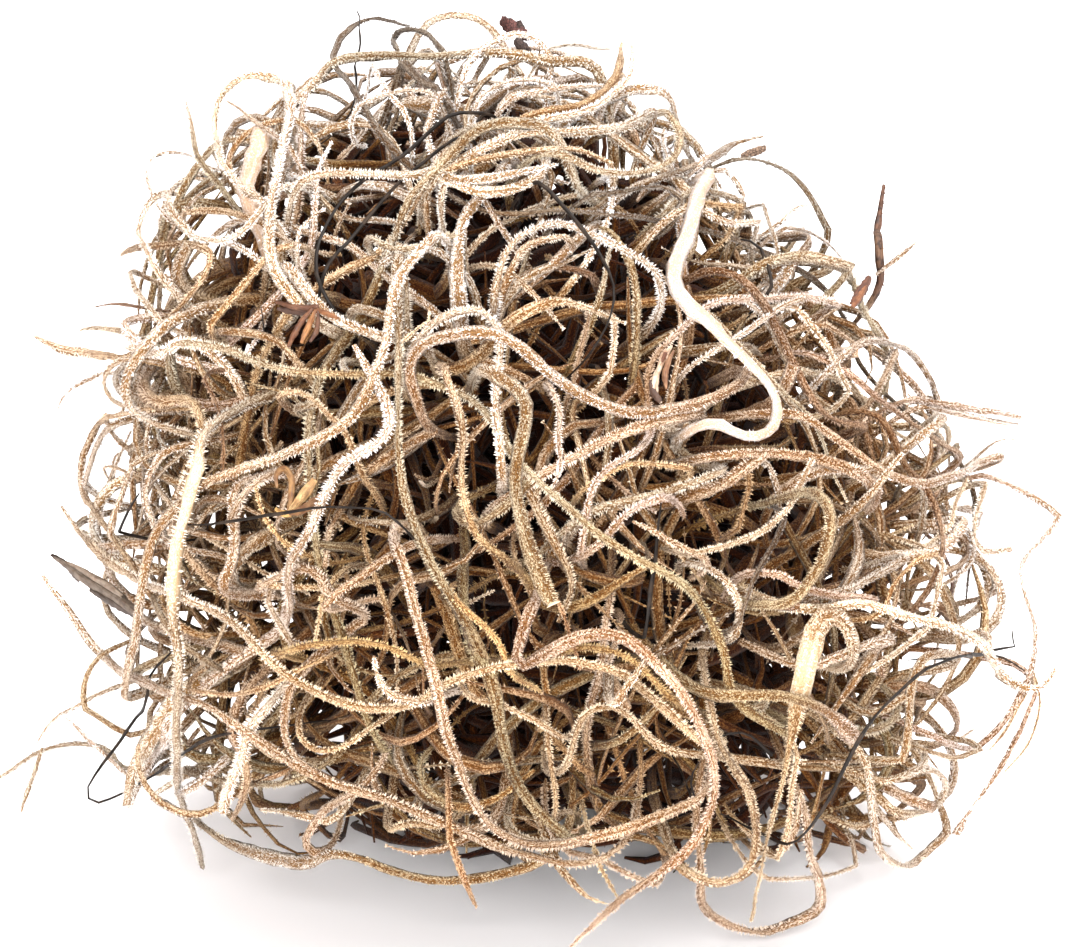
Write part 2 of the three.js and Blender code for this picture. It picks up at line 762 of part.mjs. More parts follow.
function roomiestWander(start, heading, length) {
  let least = Infinity;
  let roomiest = [];
  for (let attempt = 0; attempt < 16; attempt++) {
    const leaning = heading.clone().normalize().addScaledVector(randomDirection(), 0.5);
    const path = wander(start, leaning, length, 0.3 + 0.7 * Math.sqrt(random()));
    const cost = path.reduce(
      (sum, p) => sum + (crowd.get(cubeOf(p)) ?? 0) ** 2 + (strays(p) ? STRAY_COST : 0),
      0,
    );
    if (cost < least) {
      least = cost;
      roomiest = path;
    }
  }
  settle(roomiest);
  return roomiest;
}

// A strand's whole path in millimetre steps, each with whether it shows: unseen head, the stretches that
// show, the dips between them, and unseen tail.
function pathOf({ stretches, head, tail }) {
  const shown = stretches.map(({ layer, points }) => {
    const line = new THREE.CatmullRomCurve3(points.map((p) => onFront(p, layer)), false, "centripetal");
    return line.getSpacedPoints(Math.ceil(line.getLength()));
  });
  shown.forEach(settle);
  const first = shown[0];
  const steps = [];
  const add = (places, seen) => steps.push(...places.map((place) => ({ place, seen })));
  if (head) add(roomiestWander(first[0], first[0].clone().sub(first[2]), head).reverse(), false);
  shown.forEach((places, i) => {
    if (i > 0) {
      const from = shown[i - 1];
      const leaving = from[from.length - 1];
      const way = leaving.clone().sub(from[from.length - 3]).normalize();
      const back = places[0].clone().sub(places[2]).normalize();
      const reach = 3 + leaving.distanceTo(places[0]) / 3;
      const dive = new THREE.CubicBezierCurve3(
        leaving,
        leaving.clone().addScaledVector(way, reach).addScaledVector(wayOut(leaving), -LINK_DIVE),
        places[0].clone().addScaledVector(back, reach).addScaledVector(wayOut(places[0]), -LINK_DIVE),
        places[0],
      );
      const hidden = dive.getSpacedPoints(Math.ceil(dive.getLength())).slice(1, -1);
      settle(hidden);
      add(hidden, false);
    }
    add(places, true);
  });
  const last = shown[shown.length - 1];
  const end = last[last.length - 1];
  if (tail) add(roomiestWander(end, end.clone().sub(last[last.length - 3]), tail), false);
  return steps;
}

// The rings of a path: as few as its bends allow. A ring that shows keeps its line of sight.
function ringsOf(steps) {
  const chosen = [steps[0]];
  let from = 0;
  for (let i = 1; i < steps.length - 1; i++) {
    const step = steps[i + 1].place.distanceTo(steps[from].place);
    const began = steps[from + 1].place.clone().sub(steps[from].place);
    const turn = began.angleTo(steps[i + 1].place.clone().sub(steps[i].place));
    if (step > LONGEST_STEP || (turn > SHARPEST_STEP && step > 1.5)) {
      chosen.push(steps[i]);
      from = i;
    }
  }
  chosen.push(steps[steps.length - 1]);
  return chosen.map(({ place, seen }) => ({
    place: place.clone(),
    start: place.clone(),
    sight: seen ? place.clone().sub(EYE).normalize() : null,
  }));
}

function frontThread(spec) {
  return { name: spec.name, radius: spec.radius, rings: ringsOf(pathOf(spec)) };
}

function backThread({ name, radius, turn, height, length }) {
  const angle = THREE.MathUtils.degToRad(turn);
  const outward = new THREE.Vector3(Math.sin(angle), -Math.cos(angle), 0);
  const start = new THREE.Vector3(0, 0, height);
  while (outwardness(start) < 0.95) start.add(outward);
  const heading = new THREE.Vector3(-outward.y, outward.x, 0.3);
  const path = roomiestWander(start, heading, length);
  return { name, radius, rings: ringsOf(path.map((place) => ({ place, seen: false }))) };
}

// Where two straight pieces come closest: shares along each, and the vector from the second to the first.
function closest(a0, a1, b0, b1) {
  const a = a1.clone().sub(a0);
  const b = b1.clone().sub(b0);
  const between = a0.clone().sub(b0);
  const aa = a.dot(a);
  const bb = b.dot(b);
  const ab = a.dot(b);
  const spread = aa * bb - ab * ab;
  const share = (ab * b.dot(between) - bb * a.dot(between)) / spread;
  let s = spread > 1e-9 ? THREE.MathUtils.clamp(share, 0, 1) : 0.5;
  const t = THREE.MathUtils.clamp((ab * s + b.dot(between)) / bb, 0, 1);
  s = THREE.MathUtils.clamp((ab * t - a.dot(between)) / aa, 0, 1);
  return { s, t, gap: between.addScaledVector(a, s).addScaledVector(b, -t) };
}

// A push on a ring. A ring that shows gives way mostly along its line of sight.
function push(ring, vector, share) {
  if (!ring.sight) {
    ring.place.addScaledVector(vector, share);
    return;
  }
  const along = vector.dot(ring.sight);
  ring.place.addScaledVector(ring.sight, 1.5 * along * share);
  ring.place.addScaledVector(vector.clone().addScaledVector(ring.sight, -along), 0.2 * share);
}

function pushApart(one, other) {
  const wanted = one.thread.radius + other.thread.radius + CLEARANCE;
  const reach = one.half + other.half + wanted;
  if (one.middle.distanceToSquared(other.middle) > reach * reach) return;
  if (one.thread === other.thread && Math.abs(one.order - other.order) < 3) return;
  const [a, b] = one.ends;
  const [c, d] = other.ends;
  const { s, t, gap } = closest(a.place, b.place, c.place, d.place);
  const apart = gap.length();
  if (apart >= wanted) return;
  gap.multiplyScalar((0.55 * (wanted - apart)) / (apart || 1));
  push(a, gap, 1 - s);
  push(b, gap, s);
  push(c, gap, t - 1);
  push(d, gap, -t);
}

// Shares a thread's shifts along it so that it keeps its curves, and holds it up off the table.
function ease({ rings, radius }, amount) {
  const shifts = rings.map((ring) => ring.place.clone().sub(ring.start));
  rings.forEach((ring, i) => {
    const before = shifts[Math.max(i - 1, 0)];
    const after = shifts[Math.min(i + 1, rings.length - 1)];
    const eased = shifts[i].clone().lerp(before.clone().add(after).multiplyScalar(0.5), amount);
    ring.place.copy(ring.start).add(eased);
    ring.place.z = Math.max(ring.place.z, radius);
  });
}

function relax(threads) {
  const pieces = threads.flatMap((thread) =>
    thread.rings.slice(1).map((ring, order) => ({ thread, order, ends: [thread.rings[order], ring] })),
  );
  for (let round = 0; round < RELAX_ROUNDS; round++) {
    for (const piece of pieces) {
      const [a, b] = piece.ends;
      piece.middle = a.place.clone().add(b.place).multiplyScalar(0.5);
      piece.half = a.place.distanceTo(b.place) / 2;
    }
    pieces.sort((one, other) => one.middle.x - other.middle.x);
    const widest = Math.max(...pieces.map((piece) => piece.half)) * 2 + 2 * STRAND_RADIUS + CLEARANCE;
    for (let i = 0; i < pieces.length; i++) {
      for (let j = i + 1; j < pieces.length; j++) {
        if (pieces[j].middle.x - pieces[i].middle.x > widest) break;
        pushApart(pieces[i], pieces[j]);
      }
    }
    const amount = round < RELAX_ROUNDS * 0.7 ? 0.3 : 0;
    threads.forEach((thread) => ease(thread, amount));
  }
}

// A thread's middle line, straight from ring to ring, so that an extrusion along it has its rings just there.
class RingLine extends THREE.Curve {
  constructor(rings) {
    super();
    this.places = rings.map((ring) => ring.place);
  }

  getPoint(share, target = new THREE.Vector3()) {
    const along = THREE.MathUtils.clamp(share, 0, 1) * (this.places.length - 1);
    const from = Math.min(Math.floor(along), this.places.length - 2);
    return target.lerpVectors(this.places[from], this.places[from + 1], along - from);
  }

  getUtoTmapping(share) {
    return share;
  }
}

function roundSection(radius) {
  const corners = Array.from({ length: THREAD_SIDES }, (_, k) => (2 * Math.PI * k) / THREAD_SIDES);
  return new THREE.Shape(corners.map((a) => new THREE.Vector2(radius * Math.cos(a), radius * Math.sin(a))));
}

function threadMesh({ name, radius, rings }, color, roughness) {
  const extrudePath = new RingLine(rings);
  const settings = { steps: rings.length - 1, bevelEnabled: false, extrudePath };
  const geometry = new THREE.ExtrudeGeometry(roundSection(radius), settings);
  const mesh = new THREE.Mesh(geometry, new THREE.MeshStandardMaterial({ color, roughness, metalness: 0 }));
  mesh.name = name;
  return mesh;
}

// A husk is a spindle turned about the line between its two ends: its radius at a share of its length.
function spindleRadius(radius, share) {
  return radius * Math.max(0, Math.sin(Math.PI * share)) ** 0.6;
}

function huskMesh({ name, radius, rings }) {
  const [bottom, top] = rings.map((ring) => ring.place);
  const length = bottom.distanceTo(top);
  const outline = [0, 0.12, 0.35, 0.65, 0.88, 1].map(
    (share) => new THREE.Vector2(spindleRadius(radius, share), length * (share - 0.5)),
  );
  outline[0].x = 0;
  outline[outline.length - 1].x = 0;
  const material = new THREE.MeshStandardMaterial({ color: HUSK_COLOR, roughness: 0.85, metalness: 0 });
  const mesh = new THREE.Mesh(new THREE.LatheGeometry(outline, HUSK_SIDES), material);
  mesh.name = name;
  mesh.position.copy(bottom).add(top).multiplyScalar(0.5);
  mesh.quaternion.setFromUnitVectors(new THREE.Vector3(0, 1, 0), top.clone().sub(bottom).normalize());
  return mesh;
}

function placeHusk({ name, layer, radius, points }) {
  const rings = points.map((point) => {
    const place = onFront(point, layer);
    return { place, start: place.clone(), sight: place.clone().sub(EYE).normalize() };
  });
  return { name, radius, rings };
}

// Brings a husk up against the thread that it lies nearest to.
function seat(husk, threads) {
  const [bottom, top] = husk.rings.map((ring) => ring.place);
  let least = Infinity;
  const shift = new THREE.Vector3();
  for (const { rings, radius } of threads) {
    for (let i = 1; i < rings.length; i++) {
      const { t, gap } = closest(rings[i - 1].place, rings[i].place, bottom, top);
      const air = gap.length() - radius - spindleRadius(husk.radius, t);
      if (air >= least) continue;
      least = air;
      shift.copy(gap).setLength(air - CLEARANCE);
    }
  }
  bottom.add(shift);
  top.add(shift);
}

const strands = [...FRONT_STRANDS.map(frontThread), ...BACK_STRANDS.map(backThread)];
const fibres = FRONT_FIBRES.map(frontThread);
const husks = HUSKS.map(placeHusk);
relax([...strands, ...fibres, ...husks]);
husks.forEach((husk) => seat(husk, strands));

const bunch = new THREE.Group();
bunch.add(...strands.map((strand) => threadMesh(strand, STRAND_COLOR, 0.9)));
bunch.add(...fibres.map((fibre) => threadMesh(fibre, FIBRE_COLOR, 0.6)));
bunch.add(...husks.map(huskMesh));

const extent = new THREE.Box3().setFromObject(bunch);
const middle = extent.getCenter(new THREE.Vector3());
bunch.position.set(-middle.x, -middle.y, -extent.min.z);

export default bunch;
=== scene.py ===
import bmesh
import bpy
import math
import random
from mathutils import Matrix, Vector, noise


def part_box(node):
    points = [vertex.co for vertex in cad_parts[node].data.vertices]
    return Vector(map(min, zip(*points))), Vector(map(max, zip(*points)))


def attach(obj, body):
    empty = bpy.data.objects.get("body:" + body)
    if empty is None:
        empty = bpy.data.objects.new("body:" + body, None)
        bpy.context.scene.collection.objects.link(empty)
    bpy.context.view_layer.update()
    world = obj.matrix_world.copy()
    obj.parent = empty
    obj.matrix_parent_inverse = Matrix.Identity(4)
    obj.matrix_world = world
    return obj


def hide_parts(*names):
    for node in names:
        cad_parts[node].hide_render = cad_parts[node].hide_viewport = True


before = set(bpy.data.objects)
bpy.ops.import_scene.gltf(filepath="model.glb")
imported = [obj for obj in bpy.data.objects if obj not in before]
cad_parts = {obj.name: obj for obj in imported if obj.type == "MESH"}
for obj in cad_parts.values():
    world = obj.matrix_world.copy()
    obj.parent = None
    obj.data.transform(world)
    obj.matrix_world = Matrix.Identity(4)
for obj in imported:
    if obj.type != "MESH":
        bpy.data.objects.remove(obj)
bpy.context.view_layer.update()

# The camera: a long lens a little above the table, square on to the front of the bunch, 11.3 pixels to the
# millimetre at the bunch's middle.
VIEW_RISE = math.radians(16)
VIEW_DISTANCE = 0.410
VIEW_AIM = Vector((0.00038, 0.00162, 0.036))
PIXELS_WIDE, PIXELS_HIGH = 1080, 947
PIXELS_PER_METRE = 11300
AIM_PIXEL = (540, 470)
towards_eye = Vector((0, -math.cos(VIEW_RISE), math.sin(VIEW_RISE)))
view_up = Vector((0, math.sin(VIEW_RISE), math.cos(VIEW_RISE)))
eye = VIEW_AIM + VIEW_DISTANCE * towards_eye
camera = bpy.data.objects.new("camera", bpy.data.cameras.new("camera"))
bpy.context.scene.collection.objects.link(camera)
bpy.context.scene.camera = camera
camera.location = eye
camera.rotation_euler = (math.pi / 2 - VIEW_RISE, 0, 0)
camera.data.sensor_width = 36
camera.data.lens = 36 * PIXELS_PER_METRE * VIEW_DISTANCE / PIXELS_WIDE
camera.data.shift_y = (AIM_PIXEL[1] - PIXELS_HIGH / 2) / PIXELS_WIDE
camera.data.clip_start = 0.01

# 1. Leafy strands. A strand of Spanish moss is a wiry stem hidden under thread-like leaves, all clothed in
# silvery scales whose loose edges stand off like short white hair. It grew as one piece: each leaf wraps the
# stem at its base and curls away to a fine point. Dried, the skin under the scales shows tan and brown.
SCENE_SEED = 7
LINE_STEP = 0.0010  # between two rings of a thread
THREAD_SIDES = 5
THREAD_GROOVE = 0.38  # depth of the two furrows along a leaf, as a share of its radius
NEEDLE_SPACING = 0.000047  # of the loose scale edges along a thread in its fullest coat
OUTER_COAT = 0.9  # share of the fullest coat on what faces the outside
INNER_COAT = 0.03
BACK_COAT = 0.7  # of the coat that the front has
LEAF_SPACING = 0.020  # of the leaves that aren't placed by hand, along a strand
LEAF_LENGTHS = (0.018, 0.044)
LEAF_RADII = (0.00024, 0.00048)
ROOF = 0.065  # height above which free leaves turn down again
GROUND = 0.005  # height under which they turn up again
CRINKLES = ((0.00045, 90), (0.00013, 300))  # reach, and how many to the metre, of a dry thread's kinks
CORE_SHARE = 0.80  # of a thread's width in the front view: the rest is its loose scale edges
FRONT_REACH = 0.004  # how far back the front half of the bunch reaches
TABLE_CLEARANCE = 0.0006  # of the middle line of anything that lies on the table
CURL_STEP = 0.001  # between two points of a free curly line
SHARPEST_TURN = 0.26  # of a free curly line in one step, in radians
ROOT_LENGTH = 0.008  # of the hidden end of a listed front leaf
LEAF_BOUND = 1.06  # how far out a free leaf may curl, where 1 is the mound's skin
DEEPEST_SHADE = 0.17  # painted shade: the share of a thread's colour left deep inside the bunch, where the light hardly reaches
SHADE_POWERS = (1, 1.45, 2.2)  # by which red, green and blue darken

# Albedo and hairiness of a dry thread by its look.
TONES = {
    "cream": ((0.40, 0.315, 0.225), 1.0),
    "white": ((0.47, 0.40, 0.32), 1.05),
    "pink": ((0.40, 0.30, 0.225), 1.05),
    "grey": ((0.30, 0.25, 0.195), 1.0),
    "olive": ((0.29, 0.235, 0.15), 0.95),
    "golden": ((0.38, 0.26, 0.135), 0.7),
    "straw": ((0.55, 0.455, 0.335), 0.35),
    "bone": ((0.50, 0.435, 0.40), 0.07),
    "tan": ((0.32, 0.215, 0.125), 0.9),
    "brown": ((0.18, 0.10, 0.052), 0.6),
    "slate": ((0.12, 0.098, 0.082), 0.5),
    "dusk": ((0.17, 0.145, 0.115), 0.6),
    "russet": ((0.33, 0.21, 0.135), 0.7),
    "rust": ((0.10, 0.047, 0.031), 0.4),
    "snow": ((0.64, 0.57, 0.50), 1.15),
    "old brown": ((0.19, 0.11, 0.055), 0),
    "old rust": ((0.16, 0.08, 0.038), 0),
}
SMOOTH_TONES = ("straw", "bone", "rust")  # nearly bald, with pale skin
STAIN = (0.31, 0.20, 0.10)  # of the golden-brown stretches along any thread
PAINTED_LIGHT = (0.66, 0.60, 0.53)  # painted light: a whiter coat laid on the outer threads at the top and the sides of the bunch, where the light falls
PAINTED_LIGHT_BY_TONE = {"golden": 0.55, "olive": 0.6, "dusk": 0.4, "brown": 0.3, "slate": 0.15, "rust": 0.2}  # how much of the painted light each tone takes; else 1
WARMTH = (1.04, 0.965, 0.87)  # of the skin that shows through any coat
STRAND_TONES = {
    "strand_back_low": "cream", "strand_back_high": "tan", "strand_back_left": "grey",
    "strand_back_right": "cream", "strand_bottom_sweep": "cream", "strand_centre_arch": "grey",
    "strand_centre_cross": "pink", "strand_centre_fork": "tan", "strand_crown_arc": "olive",
    "strand_crown_ring": "olive", "strand_crown_sweep": "golden", "strand_cut_arch": "golden",
    "strand_cut_leaf": "olive", "strand_descending_bow": "cream", "strand_front_tail": "pink",
    "strand_golden_prong": "olive", "strand_great_sweep": "cream", "strand_inner_loop": "cream",
    "strand_left_arch": "golden", "strand_left_outlier": "olive", "strand_left_thick": "tan",
    "strand_left_twig": "golden", "strand_lit_crescent": "white", "strand_long_diagonal": "olive",
    "strand_long_fall": "cream", "strand_low_cross": "cream", "strand_main_upright": "olive",
    "strand_middle_rung": "golden", "strand_pale_fork": "cream", "strand_pale_hook": "grey",
    "strand_pale_sheath": "cream", "strand_pale_stick": "grey", "strand_right_arc": "grey",
    "strand_right_arch": "cream", "strand_right_brown": "olive", "strand_right_dark_drop": "brown",
    "strand_right_outrigger": "grey", "strand_right_reach": "tan", "strand_right_shelf": "snow",
    "strand_rising_pair_upper": "pink", "strand_second_arch": "cream", "strand_shoulder_loop": "snow",
    "strand_shoulder_swag": "white", "strand_table_arc": "cream", "strand_white_elbow": "white",
}
# Where a strand swells into a sheath or a blunt end: the pixel of the front view, the width there in pixels
# and how far the swelling reaches, in metres.
SWELLINGS = {
    "strand_pale_hook": [((690, 200), 14, 0.0060), ((672, 290), 14, 0.0080)],
    "strand_pale_fork": [((812, 640), 19, 0.0030), ((800, 690), 17, 0.0030), ((776, 815), 5, 0.0070),
                         ((765, 868), 4, 0.0060), ((756, 908), 3, 0.0040)],
    "strand_cut_leaf": [((857, 743), 18, 0.0026)],
    "strand_pale_stick": [((200, 490), 17, 0.0040), ((182, 570), 15, 0.0040), ((180, 700), 13, 0.0060),
                          ((185, 785), 12, 0.0050), ((201, 845), 11, 0.0026)],
    "strand_pale_sheath": [((480, 480), 14, 0.0050)],
    "strand_left_thick": [((185, 430), 15, 0.0080)],
    "strand_centre_arch": [((470, 320), 14, 0.0060)],
    "strand_golden_prong": [((540, 560), 14, 0.0050)],
    "strand_left_twig": [((150, 760), 15, 0.0040), ((76, 354), 10, 0.0030)],
    "strand_table_arc": [((262, 848), 14, 0.0024), ((286, 860), 14, 0.0018), ((312, 848), 13, 0.0024)],
}

# Where a strand takes on another tone: the pixel of the front view, how far the patch reaches, in metres, and
# the tone.
PATCHES = {
    "strand_pale_hook": [
        ((698, 185), 0.0042, "bone"), ((678, 240), 0.0042, "bone"), ((675, 295), 0.0042, "bone"),
        ((705, 340), 0.0042, "bone"), ((750, 375), 0.0042, "bone"), ((765, 405), 0.0032, "bone"),
        ((728, 425), 0.0036, "bone"), ((695, 412), 0.0024, "bone")],
    "strand_pale_stick": [((200, 490), 0.0038, "straw"), ((184, 560), 0.0046, "straw")],
    "strand_centre_arch": [((514, 265), 0.0032, "golden")],
    "strand_left_thick": [((190, 440), 0.0050, "golden")],
    "strand_cut_leaf": [((848, 736), 0.0036, "pink")],
    "strand_pale_fork": [((792, 735), 0.0050, "golden"), ((806, 668), 0.0030, "straw")],
    "leaf_red_brown": [((868, 335), 0.0030, "tan")],
    "strand_table_arc": [((285, 855), 0.0050, "white")],
}

# How much thicker than their fellows some strands are.
STOUT = {"strand_shoulder_loop": 1.3, "strand_lit_crescent": 1.15}

# The mound's sections: height, then how far it reaches to the left, to the right and to the front and back.
SECTIONS = [
    (0.000, -0.0300, 0.0340, 0.026), (0.009, -0.0330, 0.0385, 0.034), (0.018, -0.0380, 0.0405, 0.038),
    (0.028, -0.0400, 0.0410, 0.040), (0.036, -0.0400, 0.0390, 0.040), (0.042, -0.0385, 0.0345, 0.038),
    (0.050, -0.0380, 0.0300, 0.035), (0.056, -0.0365, 0.0260, 0.031), (0.061, -0.0340, 0.0200, 0.027),
    (0.067, -0.0270, 0.0130, 0.019), (0.072, -0.0200, 0.0080, 0.013), (0.0755, -0.0080, 0.0020, 0.005),
]

# The bunch's outline in the front view, in pixels, which only the listed strands pass.
OUTLINE = [
    (70, 560), (78, 480), (92, 390), (112, 310), (120, 230), (160, 155), (215, 95), (290, 78), (330, 60),
    (420, 38), (500, 28), (600, 45), (648, 60), (690, 130), (760, 145), (825, 215), (860, 300), (905, 360),
    (965, 430), (1008, 500), (1005, 640), (985, 740), (935, 840), (885, 880), (700, 888), (550, 880),
    (400, 856), (290, 862), (235, 835), (120, 800), (62, 745), (78, 650),
]
